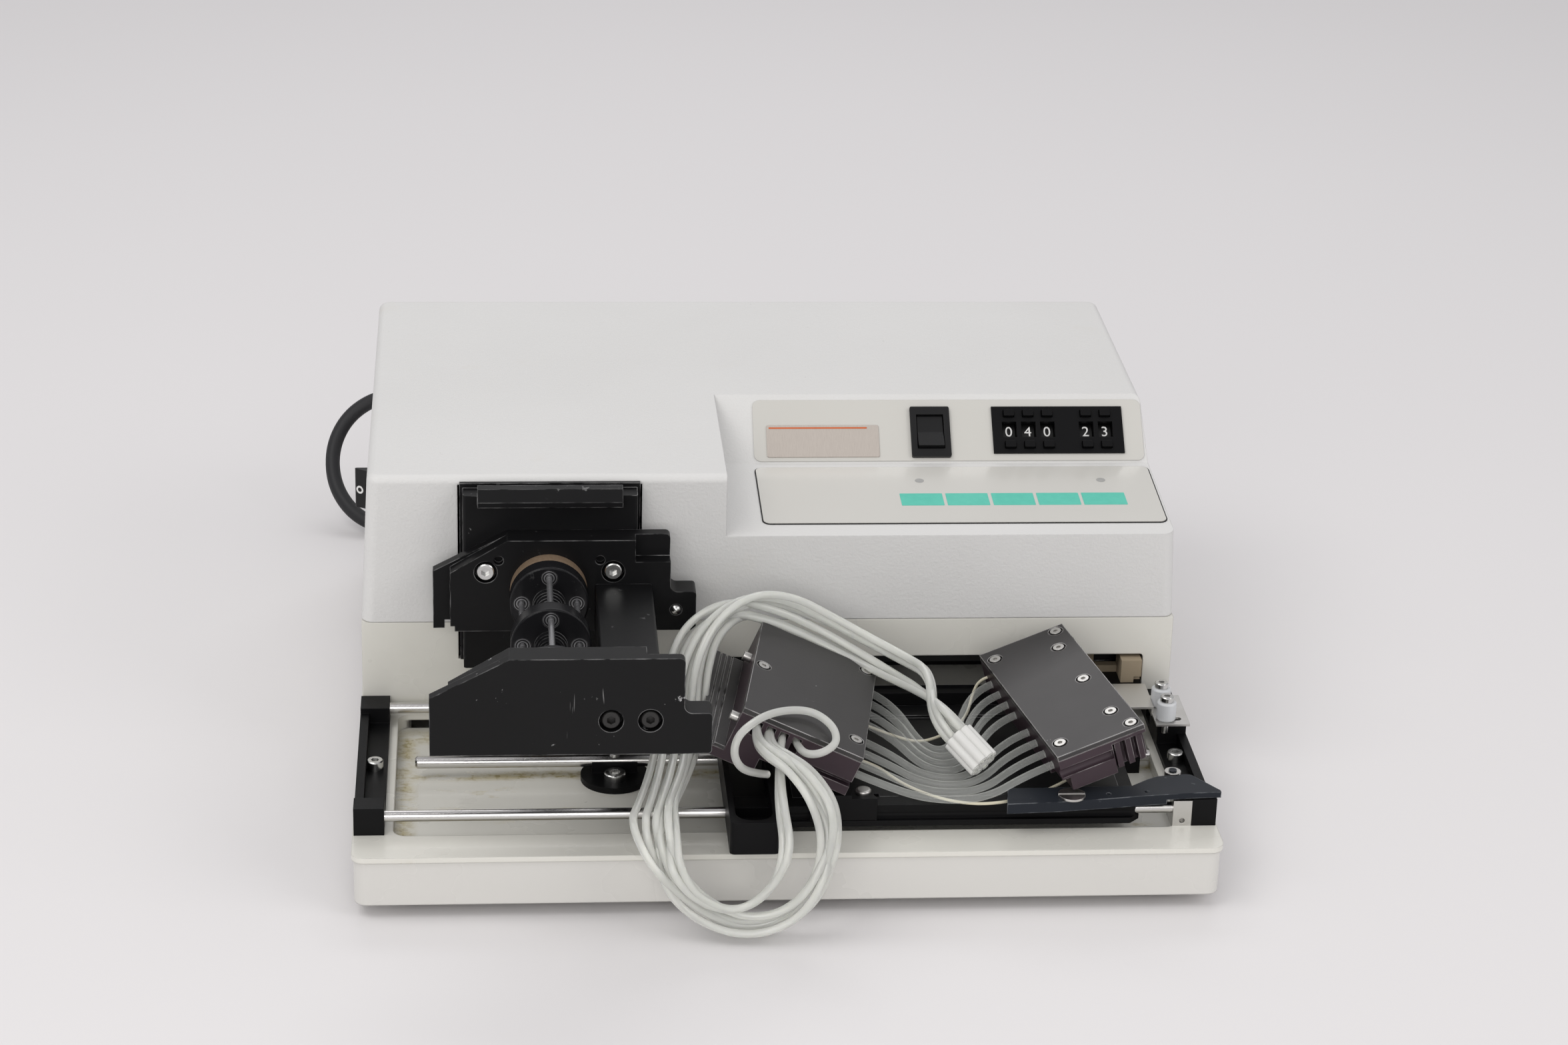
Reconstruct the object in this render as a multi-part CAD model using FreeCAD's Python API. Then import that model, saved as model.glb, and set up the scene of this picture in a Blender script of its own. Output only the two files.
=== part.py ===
"""Microplate dispenser: peristaltic pump head, sliding plate carrier and tube cassette.

Millimetres, +X right, +Y back, +Z up. The origin is the middle of the base on the surface it stands on.
Depths are given as distances behind the base's front edge and turned into Y by at().
"""
import FreeCAD, Part

import math
import os

V = FreeCAD.Vector
X_AXIS, Y_AXIS, Z_AXIS = V(1, 0, 0), V(0, 1, 0), V(0, 0, 1)

# Base and housing
base_width = 335.0
base_depth = 340.0
corner_radius = 5.0
foot_height = 6.0
foot_radius = 8.0
foot_inset = 22.0
pan_height = 18.2
pan_inset = 0.8
pan_wall = 3.0
rim_thickness = 2.4
front_rim = 18.0
side_rim = 15.5
tray_drop = 6.0
tray_skin = 2.0
wall_setback = 124.0
tub_inset = 1.1
tub_wall = 3.0
tub_height = 41.7
slot_left = -20.7
slot_right_inset = 12.7
slot_bottom_rise = 6.9
slot_top_rise = 24.9
seam_gap = 0.2
cover_height = 63.5
cover_wall = 3.0
cover_draft = 3.1
cover_edge_radius = 3.0

# Console recess in the cover
console_left = -19.2
key_back_drop = 22.0
key_slope_drop = 4.5
key_run = 67.0
fascia_run = 24.5

# Labels and switches, placed along and up their panels
label_thickness = 0.6
label_left = -3.2
label_right_inset = 4.5
fascia_label_low = 0.9
fascia_label_margin = 3.13
keypad_label_low = 10.6
keypad_label_margin = 4.75
label_radius = 3.0
bezel_x_inset = 95.5
bezel_up = 14.0
bezel_width = 16.8
bezel_height = 23.6
bezel_proud = 1.6
rocker_width = 11.0
rocker_height = 15.6
rocker_clearance = 0.3
rocker_tilt = 10.0
digit_up = 15.1
digit_pitch = 8.2
digit_housing_left_inset = 68.9
digit_housing_right_inset = 12.9
digit_housing_low = 4.0
digit_housing_high = 26.0
digit_housing_proud = 1.6
digit_housing_depth = 22.0
digit_first_inset = 61.6
digit_gap = 16.6
wheel_radius = 9.0
wheel_width = 5.6
window_width = 6.2
window_height = 7.4
button_width = 4.4
button_height = 3.0
button_offset = 7.4
button_travel = 1.5
button_depth = 2.9
switch_depth = 16.0

# Side power switch and mains lead
power_switch_setback_inset = 35.0
power_switch_z = 51.5
power_bezel_depth = 14.5
power_bezel_height = 24.0
gland_x_inset = 27.5
gland_z = 56.0
gland_radius = 6.2
gland_length = 26.1
gland_tip_radius = 4.4
gland_grooves = 4
cord_diameter = 7.0
coil_x = -78.0
coil_setback = 432.0
coil_turn_diameter = 77.0
coil_turns_across = 3
coil_turns_high = 2
plug_width = 26.0
plug_length = 24.0
plug_thickness = 17.8
plug_tail = 44.0

# Pump head
pump_x = -91.2
pump_z = 92.0
pump_rear_face = 102.0
pump_pad_thickness = 6.5
pump_back_thickness = 4.7
pump_back_drop = 1.3
pump_gap = 100.2
front_plate_thickness = 10.8
front_plate_skin = 4.3
plate_left = 46.0
plate_slope_start = 16.4
plate_slope_drop = 15.6
plate_top = 21.2
plate_shoulder = 48.6
plate_tab = 59.0
plate_notch_floor = -1.3
plate_bottom = -18.0
notch_radius = 3.0
pad_inset = 6.9
mount_left = 35.3
mount_right = 37.0
mount_top = 37.9
mount_bottom = -39.4
mount_thickness = 16.8
mount_flange = 1.9
mount_margin = 1.3
mount_gap = 0.8
bar_left = 28.1
bar_right = 29.7
bar_height = 5.8
bar_proud = 3.5
bridge_left = 18.4
bridge_right = 41.2
bridge_top = 2.4
bridge_height = 18.4
bridge_screw_x = (21.3, 35.9)
pad_screw_x = (-25.0, 25.7)
pad_screw_z = 7.7
m4_head_radius = 3.5
m4_head_height = 4.0
m4_shank_radius = 2.0
m4_bore_radius = 4.6
ball_x = 50.9
ball_z = -9.1
ball_radius = 2.3
pin_hole_radius = 1.9
pin_hole_depth = 3.0
pin_hole_aside = 5.2
pin_hole_up = 5.0
rebate_width = 14.0
rebate_height = 9.4

# Pump rotor
disc_radius = 15.6
disc_thickness = 7.8
disc_pitch = 39.8
ring_length = 6.0
ring_radius = 15.4
shaft_radius = 4.0
shaft_clearance = 0.05
hub_radius = 6.4
hub_step_radius = 5.2
hub_step = 3.0
pin_circle = 10.9
pin_radius = 1.2
pin_count = 4
pin_overhang = 1.2
bearing_radius = 3.1
bearing_clearance = 0.1
running_gap = 0.4

# Guide rods and their brackets
rod_z = 33.0
rod_radius = 2.25
front_rod_setback = 22.2
rear_rod_setback = 117.4
bracket_inner_x_inset = 12.2
bracket_height = 9.0
front_block_height = 11.4
floor_screw_inset = 7.4
floor_screw_setback = 70.6
floor_screw_radius = 3.25
floor_screw_head = 4.0
bracket_edge = 0.5
front_block_from = 18.6
front_block_to = 28.0
rear_block_from = 111.5
rear_block_to = 123.4
bracket_rib = 3.5
bracket_floor = 2.4
rod_socket = 6.0
third_rod_setback = 79.0
third_rod_z = 27.4
third_rod_radius = 2.5
third_rod_left_inset = 23.0
third_rod_right_inset = 16.5
end_block_x_inset = 29.5
post_x = -65.2
post_base_radius = 13.6
post_base_height = 2.6
post_screw_setback = 71.2
post_block_half = 9.0
post_block_from = 76.0
rod_screw_radius = 1.9
rod_screw_head = 1.4
clamp_block_from_x_inset = 17.5
clamp_block_to_x_inset = 10.1
clamp_block_from = 18.8
clamp_block_rise = 4.3
clamp_block_to = 26.9

# Carrier: what rides under the cassette stays below carrier_ceiling
carrier_ceiling = 42.0
rest_gap = 0.3
platform_left = -24.5
platform_right_inset = 30.5
platform_front = 27.0
platform_back = 111.0
platform_z = 31.2
platform_thickness = 2.8
front_rail_from = 17.6
front_rail_to = 27.0
front_rail_low = 28.6
front_rail_high = 36.5
front_rail_lip = 30.9
front_rail_recess = 2.0
rear_rail_from = 111.0
rear_rail_to = 122.6
rear_rail_low = 28.6
rear_rail_high = 38.6
rod_running_gap = 0.25
rear_wall_thickness = 3.0
handle_right = -5.5
handle_front = -8.0
handle_back = 57.0
handle_low = 30.6
handle_high = 44.0
handle_wall = 2.4
corner_block_from = 8.0
corner_block_to = 34.0
corner_block_depth = 13.0
arm_left_inset = 51.5
arm_right_inset = 13.5
arm_low = 36.0
arm_high = 40.0
arm_back = 147.0
pan_screw_x = 29.0
pan_screw_setback = 23.5
pan_screw_radius = 3.1

# Plate adapter, belt clamp and belt drive
adapter_left = 2.0
adapter_right_inset = 36.5
adapter_front = 29.0
adapter_back = 107.5
adapter_thickness = 1.6
adapter_step = 1.2
adapter_step_setback = 98.0
clamp_left_inset = 22.1
clamp_right_inset = 13.6
clamp_front = 120.6
clamp_back = 134.0
clamp_high = 50.0
belt_thickness = 1.6
belt_height = 6.0
belt_setback = 142.0
belt_rise = 1.2
pulley_radius = 8.0
drive_pulley_x_inset = 27.5
idler_pulley_x = -118.0
pulley_clearance = 0.15
pulley_shaft_radius = 2.5
pulley_flange = 1.0

# Clamp lever on the front rail
lever_x_inset = 58.1
lever_setback = 16.9
lever_low = 36.7
lever_thickness = 4.3
lever_step_inset = 20.6
lever_step_z = 38.6
lever_screw_radius = 5.3
lever_screw_head = 0.9
lever_pin_radius = 3.0
lever_bearing_x_inset = 15.1
lever_bearing_setback = 36.8
lever_bearing_radius = 3.2
lever_bearing_height = 1.9
lever_button_radius = 1.6
lever_outline = [(-25.9, -6.0), (-5.9, -4.8), (13.2, -2.5), (30.2, -0.1), (49.2, 1.6), (59.0, 2.0), (59.0, 3.6),
                 (49.8, 17.2), (48.1, 17.7), (39.9, 16.8), (36.4, 16.1), (31.9, 13.6), (25.0, 8.3), (14.9, 8.2),
                 (-4.1, 7.5), (-24.1, 7.2)]
lever_holes = [(14.7, 1.7), (29.8, 3.0)]

# Flag bracket with nylon sleeves at the right-hand end
flag_z = 41.0
flag_thickness = 1.0
flag_plate = (14.3, 0.5, 79.0, 106.0)
flag_tongue = (28.0, 13.7, 89.0, 111.0)
flag_slot = (13.1, 3.3)
flag_step = 3.0
flag_post_from = 86.0
flag_post_to = 103.0
sleeve_x_inset = 9.6
sleeve_setbacks = (84.0, 97.0)
sleeve_radius = 4.0
sleeve_height = 8.0
sleeve_screw_radius = 2.75
sleeve_screw_head = 2.4

# Cassette blocks: centre of each top plate and its turns about Z, Y and X in degrees
block_centre = (11.0, 55.6, 69.7)
block_turn = (-8.6, 22.1, 2.2)
block_width = 50.0
block_length = 74.6
block_height = 18.0
head_centre = (109.8, 61.3, 65.8)
head_turn = (12.2, -16.6, 2.6)
head_width = 36.6
head_length = 87.4
head_height = 17.0
top_plate = 2.2
tube_pitch = 9.0
tube_middle_gap = 14.4
tube_count = 8
tube_diameter = 3.1
tube_level = 9.0
tube_rest_z = 44.2
tube_low_front = 9.0
tube_low_back = 52.0
tube_lead = 11.0
comb_count = 4
comb_first = 6.0
comb_pitch = 5.4
comb_width = 3.4
comb_height = 6.3
comb_drop = 1.2
comb_depth = 7.0
rear_port_x = -12.0
ribbed_width = 12.0
ribbed_height = 1.6
ribbed_drop = 18.7
ribbed_first = 4.6
ribbed_pitch = 2.4
rib_count = 3
ledge_left = -34.0
ledge_right = -11.0
ledge_low = -24.5
side_screw_y = (-33.5, 16.7)
top_screw_radius = 2.25
top_screw_sunk = 1.35
block_screws = [(-20.8, 1.8), (20.8, 32.9), (20.9, -25.1)]
head_screws = [(-13.9, 36.8), (14.1, 40.2), (10.7, 28.3), (10.5, 0.8), (10.9, -27.2), (14.4, -39.5), (-13.7, -35.0)]
collector_centre = (70.5, 27.0, 56.4)
collector_radius = 6.6
collector_length = 15.0

# Motors and boards behind the wall
pump_motor_radius = 18.5
pump_motor_length = 62.0
carriage_motor_size = 35.0
carriage_motor_height = 26.0
carriage_motor_low = 52.0
board_left = -60.0
board_right_inset = 70.5
board_from_inset = 125.0
board_to_inset = 25.0
board_thickness = 1.6
board_blocks = [(30, 30, 26, 16, 10), (80, 45, 34, 14, 4), (120, 25, 12, 12, 14),
                (120, 75, 20, 22, 16)]
board_standoff = 6.0
transformer_size = (58.0, 48.0, 44.0)
transformer_x_inset = 39.5
transformer_setback_inset = 50.0

# Levels worked out from the sizes above
pan_top = foot_height + pan_height
rim_z = pan_top + rim_thickness
seam_z = rim_z + tub_height
cover_top = seam_z + cover_height
tub_half = base_width / 2 - tub_inset
slot_right = base_width / 2 - slot_right_inset
label_right = base_width / 2 - label_right_inset
third_rod_right = base_width / 2 - third_rod_right_inset
end_block_x = base_width / 2 - end_block_x_inset
clamp_block_from_x = base_width / 2 - clamp_block_from_x_inset
clamp_block_to_x = base_width / 2 - clamp_block_to_x_inset
bracket_inner_x = base_width / 2 - bracket_inner_x_inset
platform_right = base_width / 2 - platform_right_inset
arm_left = base_width / 2 - arm_left_inset
arm_right = base_width / 2 - arm_right_inset
adapter_right = base_width / 2 - adapter_right_inset
clamp_left = base_width / 2 - clamp_left_inset
clamp_right = base_width / 2 - clamp_right_inset
drive_pulley_x = base_width / 2 - drive_pulley_x_inset
lever_x = base_width / 2 - lever_x_inset
lever_bearing_x = base_width / 2 - lever_bearing_x_inset
sleeve_x = base_width / 2 - sleeve_x_inset
digit_housing_left = base_width / 2 - digit_housing_left_inset
digit_housing_right = base_width / 2 - digit_housing_right_inset
digit_first = base_width / 2 - digit_first_inset
bezel_x = base_width / 2 - bezel_x_inset
transformer_x = base_width / 2 - transformer_x_inset
board_right = base_width / 2 - board_right_inset
gland_x = gland_x_inset - base_width / 2
third_rod_left = third_rod_left_inset - base_width / 2
board_from = base_depth - board_from_inset
board_to = base_depth - board_to_inset
transformer_setback = base_depth - transformer_setback_inset
power_switch_setback = base_depth - power_switch_setback_inset
keypad_label_high = math.hypot(key_slope_drop, key_run) - keypad_label_margin
fascia_label_high = math.hypot(key_back_drop, fascia_run) - fascia_label_margin
frame_middle = (pump_rear_face - pump_gap - front_plate_thickness + base_depth - tub_inset + gland_length) / 2


def at(setback):
    """Y of a distance behind the base's front edge."""
    return setback - frame_middle


def box(x0, x1, front, back, z0, z1):
    """Box from two X values, two setbacks and two heights."""
    return Part.makeBox(x1 - x0, back - front, z1 - z0, V(x0, at(front), z0))


def cylinder(x, setback, z, radius, length, axis=Z_AXIS):
    return Part.makeCylinder(radius, length, V(x, at(setback), z), axis)


def prism(outline, direction):
    """Straight extrusion of a closed outline of points."""
    return Part.Face(Part.makePolygon(outline + outline[:1])).extrude(direction)


def along_y(outline, front, back):
    """Extrude an outline of (x, z) points from one setback to another."""
    return prism([V(x, at(front), z) for x, z in outline], V(0, back - front, 0))


def along_x(outline, x0, x1):
    """Extrude an outline of (setback, z) points from x0 to x1."""
    return prism([V(x0, at(d), z) for d, z in outline], V(x1 - x0, 0, 0))


def along_z(outline, z0, z1):
    """Extrude an outline of (x, setback) points from z0 to z1."""
    return prism([V(x, at(d), z0) for x, d in outline], V(0, 0, z1 - z0))


def edges_along(shape, axis, test=None):
    """Straight edges of a shape that run along an axis and pass a test on their middle."""
    found = []
    for edge in shape.Edges:
        ends = [vertex.Point for vertex in edge.Vertexes]
        if len(ends) != 2 or not isinstance(edge.Curve, Part.Line):
            continue
        run = (ends[1] - ends[0]).normalize()
        if abs(abs(run.dot(axis)) - 1) < 1e-6 and (test is None or test((ends[0] + ends[1]) * 0.5)):
            found.append(edge)
    return found


def rounded(shape, radius, axis, test=None):
    """Fillet of the edges that run along an axis."""
    return shape.makeFillet(radius, edges_along(shape, axis, test))


def placed(shape, centre, turn):
    """Copy of a shape built about the origin, turned and then moved to its centre."""
    copy = shape.copy()
    x, setback, z = centre
    copy.Placement = FreeCAD.Placement(V(x, at(setback), z), FreeCAD.Rotation(*turn))
    return copy


def compound(solids):
    return solids[0] if len(solids) == 1 else Part.makeCompound(solids)


def only_solid(shape):
    """The one solid that a boolean leaves, without its wrapper."""
    return shape.Solids[0] if len(shape.Solids) == 1 else shape


# Panels of the console, as placements with X along the panel and Y up its slope
key_back_z = cover_top - key_back_drop
key_front_z = key_back_z - key_slope_drop
key_back_setback = wall_setback + key_run
fascia_angle = math.degrees(math.atan2(key_back_drop, fascia_run))
key_angle = math.degrees(math.atan2(key_slope_drop, key_run))
fascia_panel = FreeCAD.Placement(V(0, at(key_back_setback), key_back_z), FreeCAD.Rotation(X_AXIS, fascia_angle))
key_panel = FreeCAD.Placement(V(0, at(wall_setback), key_front_z), FreeCAD.Rotation(X_AXIS, key_angle))


def on_panel(shape, panel):
    """Copy of a shape drawn flat, laid on a panel of the console."""
    copy = shape.copy()
    copy.Placement = panel
    return copy


def panel_box(x0, x1, low, high, under, over):
    """Box drawn flat for a panel: across, up the slope, and from under to over its face."""
    return Part.makeBox(x1 - x0, high - low, over - under, V(x0, low, under))


def digit_places():
    """X of the three left and the two right digit wheels."""
    left = [digit_first + digit_pitch * i for i in range(3)]
    right = [left[-1] + digit_gap + digit_pitch * i for i in range(2)]
    return left + right


def base_pan():
    outer = box(-base_width / 2 + pan_inset, base_width / 2 - pan_inset, pan_inset,
                base_depth - pan_inset, foot_height, pan_top)
    outer = rounded(outer, corner_radius, Z_AXIS)
    inner = box(-base_width / 2 + pan_inset + pan_wall, base_width / 2 - pan_inset - pan_wall,
                pan_inset + pan_wall, base_depth - pan_inset - pan_wall, foot_height + pan_wall, pan_top)
    return outer.cut(inner)


def foot_places():
    return [(sx * (base_width / 2 - foot_inset), d)
            for sx in (-1, 1) for d in (foot_inset, base_depth - foot_inset)]


def rubber_feet():
    feet = []
    for x, d in foot_places():
        foot = Part.makeCone(foot_radius - 1.0, foot_radius, foot_height, V(x, at(d), 0))
        feet.append(foot)
    return compound(feet)


def tray_moulding():
    half = base_width / 2
    slab = rounded(box(-half, half, 0, base_depth, pan_top, rim_z), corner_radius, Z_AXIS)
    inner_x = half - side_rim
    basin = box(-inner_x - tray_skin, inner_x + tray_skin, front_rim - tray_skin, wall_setback,
                rim_z - tray_drop - tray_skin, rim_z)
    basin = rounded(basin, corner_radius + tray_skin, Z_AXIS)
    hollow = rounded(box(-inner_x, inner_x, front_rim, wall_setback, rim_z - tray_drop, rim_z + 1),
                     corner_radius, Z_AXIS)
    tub = rounded(box(-tub_half, tub_half, wall_setback, base_depth - tub_inset, pan_top, seam_z - seam_gap),
                  corner_radius, Z_AXIS, lambda p: p.y > 0)
    tub_hollow = box(-tub_half + tub_wall, tub_half - tub_wall, wall_setback + tub_wall,
                     base_depth - tub_inset - tub_wall, rim_z, seam_z)
    slot = box(slot_left, slot_right, wall_setback - 1, wall_setback + tub_wall + 1,
               rim_z + slot_bottom_rise, rim_z + slot_top_rise)
    slot = rounded(slot, 1.5, Y_AXIS)
    body = slab.fuse(basin).fuse(tub).cut(hollow).cut(tub_hollow).cut(slot)
    body = body.cut(pump_mount_opening()).cut(power_switch_opening()).cut(gland_bore())
    return only_solid(body.removeSplitter())


def pump_mount_opening():
    """Space through the front wall and the cover for the pump's mounting block."""
    return box(pump_x - mount_left - mount_gap, pump_x + mount_right + mount_gap, wall_setback - 1,
               wall_setback + cover_wall + 1, pump_z + mount_bottom - mount_gap, pump_z + mount_top - 1.5)


def gland_bore():
    return cylinder(gland_x, base_depth - tub_inset - tub_wall - 1, gland_z, gland_radius,
                    tub_wall + 3, Y_AXIS)


def power_switch_opening():
    d, z = power_switch_setback, power_switch_z
    return box(-tub_half - 1, -tub_half + tub_wall + 1, d - power_bezel_depth / 2 + 1.5,
               d + power_bezel_depth / 2 - 1.5, z - power_bezel_height / 2 + 1.5, z + power_bezel_height / 2 - 1.5)


def cover_form(inset, low, high, radius):
    """Drafted box of the cover, moved in by an inset on every side."""
    back = base_depth - tub_inset

    def ring(z, lean):
        outline = box(-tub_half + inset + lean, tub_half - inset - lean, wall_setback + inset,
                      back - inset - lean, z, z + 1)
        outline = rounded(outline, radius, Z_AXIS)
        return min(outline.Faces, key=lambda face: face.CenterOfMass.z).OuterWire

    lean_low = cover_draft * (low - seam_z) / cover_height
    lean_high = cover_draft * (high - seam_z) / cover_height
    return Part.makeLoft([ring(low, lean_low), ring(high, lean_high)], True, True)


def console_cut(inset):
    """Everything above the keypad and the fascia, moved down and back by an inset."""
    rise = inset / math.cos(math.radians(key_angle))
    slope = math.radians(fascia_angle)
    shift = inset * math.tan(slope / 2)
    far = wall_setback + key_run + fascia_run + 40 / math.tan(slope)
    outline = [(wall_setback - 20, key_front_z - rise - 20 * math.tan(math.radians(key_angle))),
               (key_back_setback + shift, key_back_z - rise),
               (far + shift, key_back_z - rise + (far - key_back_setback) * math.tan(slope)),
               (wall_setback - 20, key_back_z - rise + (far - key_back_setback) * math.tan(slope))]
    return along_x(outline, console_left - inset, base_width)


def rear_cover():
    shell = cover_form(0, seam_z, cover_top, corner_radius)
    top_edges = [edge for edge in shell.Edges if edge.BoundBox.ZMin > cover_top - 0.01]
    shell = shell.makeFillet(cover_edge_radius, top_edges)
    cut = rounded(console_cut(0), 1.2, X_AXIS, lambda p: abs(p.z - key_back_z) < 1 and p.y < at(key_back_setback) + 1)
    shell = shell.cut(cut)
    inner = cover_form(cover_wall, seam_z - 1, cover_top - cover_wall, corner_radius - cover_wall)
    inner = inner.cut(console_cut(cover_wall))
    shell = shell.cut(inner).cut(pump_mount_opening())
    for hole in console_holes():
        shell = shell.cut(hole)
    return only_solid(shell.removeSplitter())


def console_holes():
    """Cut-outs of the cover for the rocker switch and the digit switch."""
    reach = cover_wall + 6
    digits = panel_box(digit_housing_left + 1, digit_housing_right - 1, digit_housing_low + 1,
                       digit_housing_high - 1, -reach, reach)
    rocker = panel_box(bezel_x - bezel_width / 2 + 1, bezel_x + bezel_width / 2 - 1,
                       bezel_up - bezel_height / 2 + 1, bezel_up + bezel_height / 2 - 1, -reach, reach)
    return [on_panel(digits, fascia_panel), on_panel(rocker, fascia_panel)]


def front_labels():
    """Fascia label and keypad overlay, each a thin sheet stuck in place."""
    labels = []
    for panel, low, high in ((fascia_panel, fascia_label_low, fascia_label_high),
                             (key_panel, keypad_label_low, keypad_label_high)):
        sheet = rounded(panel_box(label_left, label_right, low, high, 0, label_thickness), label_radius, Z_AXIS)
        labels.append(on_panel(sheet, panel))
    for hole in console_holes():
        labels[0] = only_solid(labels[0].cut(hole))
    return compound(labels)


def digit_switch_housing():
    face = panel_box(digit_housing_left, digit_housing_right, digit_housing_low, digit_housing_high,
                     label_thickness, digit_housing_proud)
    body = panel_box(digit_housing_left + 1.2, digit_housing_right - 1.2, digit_housing_low + 1.2,
                     digit_housing_high - 1.2, -digit_housing_depth, label_thickness)
    shape = face.fuse(body)
    for x in digit_places():
        room = wheel_width / 2 + 0.4
        reach = wheel_radius + 0.5
        well = panel_box(x - room, x + room, digit_up - reach, digit_up + reach,
                         digit_wheel_depth() - reach, -1.0)
        window = panel_box(x - window_width / 2, x + window_width / 2, digit_up - window_height / 2,
                           digit_up + window_height / 2, -1.5, 3)
        shape = shape.cut(well).cut(window)
        for side in (-1, 1):
            middle = digit_up + side * button_offset
            grow = 0.2
            pocket = panel_box(x - button_width / 2 - grow, x + button_width / 2 + grow,
                               middle - button_height / 2 - grow, middle + button_height / 2 + grow,
                               -button_depth - 0.1, 3)
            shape = shape.cut(pocket)
    return on_panel(only_solid(shape), fascia_panel)


def digit_wheel_depth():
    """Height of the wheel's axle under the fascia's face."""
    return -1.3 - wheel_radius


def digit_wheel(x):
    rim = Part.makeCylinder(wheel_radius, wheel_width, V(x - wheel_width / 2, digit_up, digit_wheel_depth()), X_AXIS)
    axle = Part.makeCylinder(1.2, wheel_width + 0.7, V(x - wheel_width / 2 - 0.35, digit_up, digit_wheel_depth()),
                             X_AXIS)
    return on_panel(rim.fuse(axle), fascia_panel)


def digit_button(x, side):
    middle = digit_up + side * button_offset
    stem = panel_box(x - button_width / 2, x + button_width / 2, middle - button_height / 2,
                     middle + button_height / 2, button_travel - button_depth, digit_housing_proud + button_travel)
    return on_panel(rounded(stem, 0.5, Z_AXIS), fascia_panel)


def rocker_profile(width, height, thickness):
    """Rocker drawn flat and level: a wedge with its upper half pressed in."""
    half = height / 2
    reach = half + 0.1
    raised = half * math.sin(math.radians(2 * rocker_tilt)) * 1.15
    outline = [(-half * 0.6, -thickness), (-half, 0), (-math.sqrt(reach ** 2 - raised ** 2), raised),
               (0, raised * 0.3), (half, 0.4), (half * 0.6, -thickness)]
    return prism([V(-width / 2, y, z) for y, z in outline], V(width, 0, 0))


def switch_frame(width, height, rocker_w, rocker_h, under, proud):
    """Bezel of a rocker switch, drawn flat about its middle, with its body behind the panel."""
    flange = Part.makeBox(width, height, proud, V(-width / 2, -height / 2, 0))
    flange = flange.makeFillet(0.8, edges_along(flange, Z_AXIS))
    body = Part.makeBox(width - 3.2, height - 3.2, under, V(-width / 2 + 1.6, -height / 2 + 1.6, -under))
    gap = rocker_clearance
    well = Part.makeBox(rocker_w + 2 * gap, rocker_h + 2 * gap, proud + 6.2 + gap,
                        V(-rocker_w / 2 - gap, -rocker_h / 2 - gap, -6.0 - gap))
    return flange.fuse(body).cut(well)


def plate_switch_placement():
    lift = V(bezel_x, bezel_up, label_thickness)
    return fascia_panel.multiply(FreeCAD.Placement(lift, FreeCAD.Rotation()))


def power_switch_placement():
    """Flat drawing turned so that its face looks left and its rocker tips about a vertical axis."""
    turn = FreeCAD.Rotation(V(0, 0, 1), V(0, -1, 0), V(-1, 0, 0), "ZXY")
    return FreeCAD.Placement(V(-tub_half, at(power_switch_setback), power_switch_z), turn)


def switch_bezels():
    plate = switch_frame(bezel_width, bezel_height, rocker_width, rocker_height, switch_depth, bezel_proud)
    power = switch_frame(power_bezel_height, power_bezel_depth, power_rocker_width(), power_rocker_height(),
                         switch_depth, bezel_proud)
    return compound([on_panel(plate, plate_switch_placement()), on_panel(power, power_switch_placement())])


def power_rocker_width():
    return power_bezel_height - 5.0


def power_rocker_height():
    return power_bezel_depth - 4.5


def plate_switch_rocker():
    return on_panel(rocker_profile(rocker_width, rocker_height, 4.0), plate_switch_placement())


def power_switch_rocker():
    return on_panel(rocker_profile(power_rocker_width(), power_rocker_height(), 4.0), power_switch_placement())


def mains_gland():
    """Tapered strain relief with its flange and grooves."""
    start = base_depth - tub_inset
    flange = cylinder(gland_x, start, gland_z, gland_radius + 2.0, 2.0, Y_AXIS)
    neck = cylinder(gland_x, start - tub_wall - 1.5, gland_z, gland_radius - 0.1, tub_wall + 1.5, Y_AXIS)
    sleeve = Part.makeCone(gland_radius - 0.4, gland_tip_radius, gland_length - 2.0,
                           V(gland_x, at(start + 2.0), gland_z), Y_AXIS)
    for i in range(gland_grooves):
        front = start + 6.0 + 4.4 * i
        radius = gland_tip_radius - 0.6 + (gland_radius - 0.4 - gland_tip_radius) * (1 - i / gland_grooves)
        groove = cylinder(gland_x, front, gland_z, gland_radius + 3.0, 1.2, Y_AXIS)
        sleeve = sleeve.cut(groove.cut(cylinder(gland_x, front - 1, gland_z, radius, 3.2, Y_AXIS)))
    return only_solid(flange.fuse(neck).fuse(sleeve))


def pump_outline(inset_left=0.0, drop_bottom=0.0):
    """Shared outline of the pump's two plates, as (x, z) points."""
    left = pump_x - plate_left + inset_left
    low = pump_z + plate_bottom - drop_bottom
    run = plate_left - plate_slope_start
    drop = plate_slope_drop * (run - inset_left * 0.5) / run
    return [(left, low), (pump_x + plate_tab, low),
            (pump_x + plate_tab, pump_z + plate_notch_floor), (pump_x + plate_shoulder, pump_z + plate_notch_floor),
            (pump_x + plate_shoulder, pump_z + plate_top), (pump_x - plate_slope_start, pump_z + plate_top),
            (left, pump_z + plate_top - drop)]


def near(x, z, reach=1.0):
    """Test for an edge along Y that stands at this x and z."""
    return lambda p: abs(p.x - x) < reach and abs(p.z - z) < reach


def softened_plate(plate, drop_bottom=0.0):
    """Round the notch, the shoulder and the bottom corners of a pump plate."""
    plate = rounded(plate, notch_radius, Y_AXIS, near(pump_x + plate_shoulder, pump_z + plate_notch_floor))
    plate = rounded(plate, 2.0, Y_AXIS, near(pump_x + plate_shoulder, pump_z + plate_top))
    plate = rounded(plate, 1.5, Y_AXIS, near(pump_x + plate_tab, pump_z + plate_notch_floor))
    return rounded(plate, 1.5, Y_AXIS, near(pump_x + plate_tab, pump_z + plate_bottom - drop_bottom))


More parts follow.
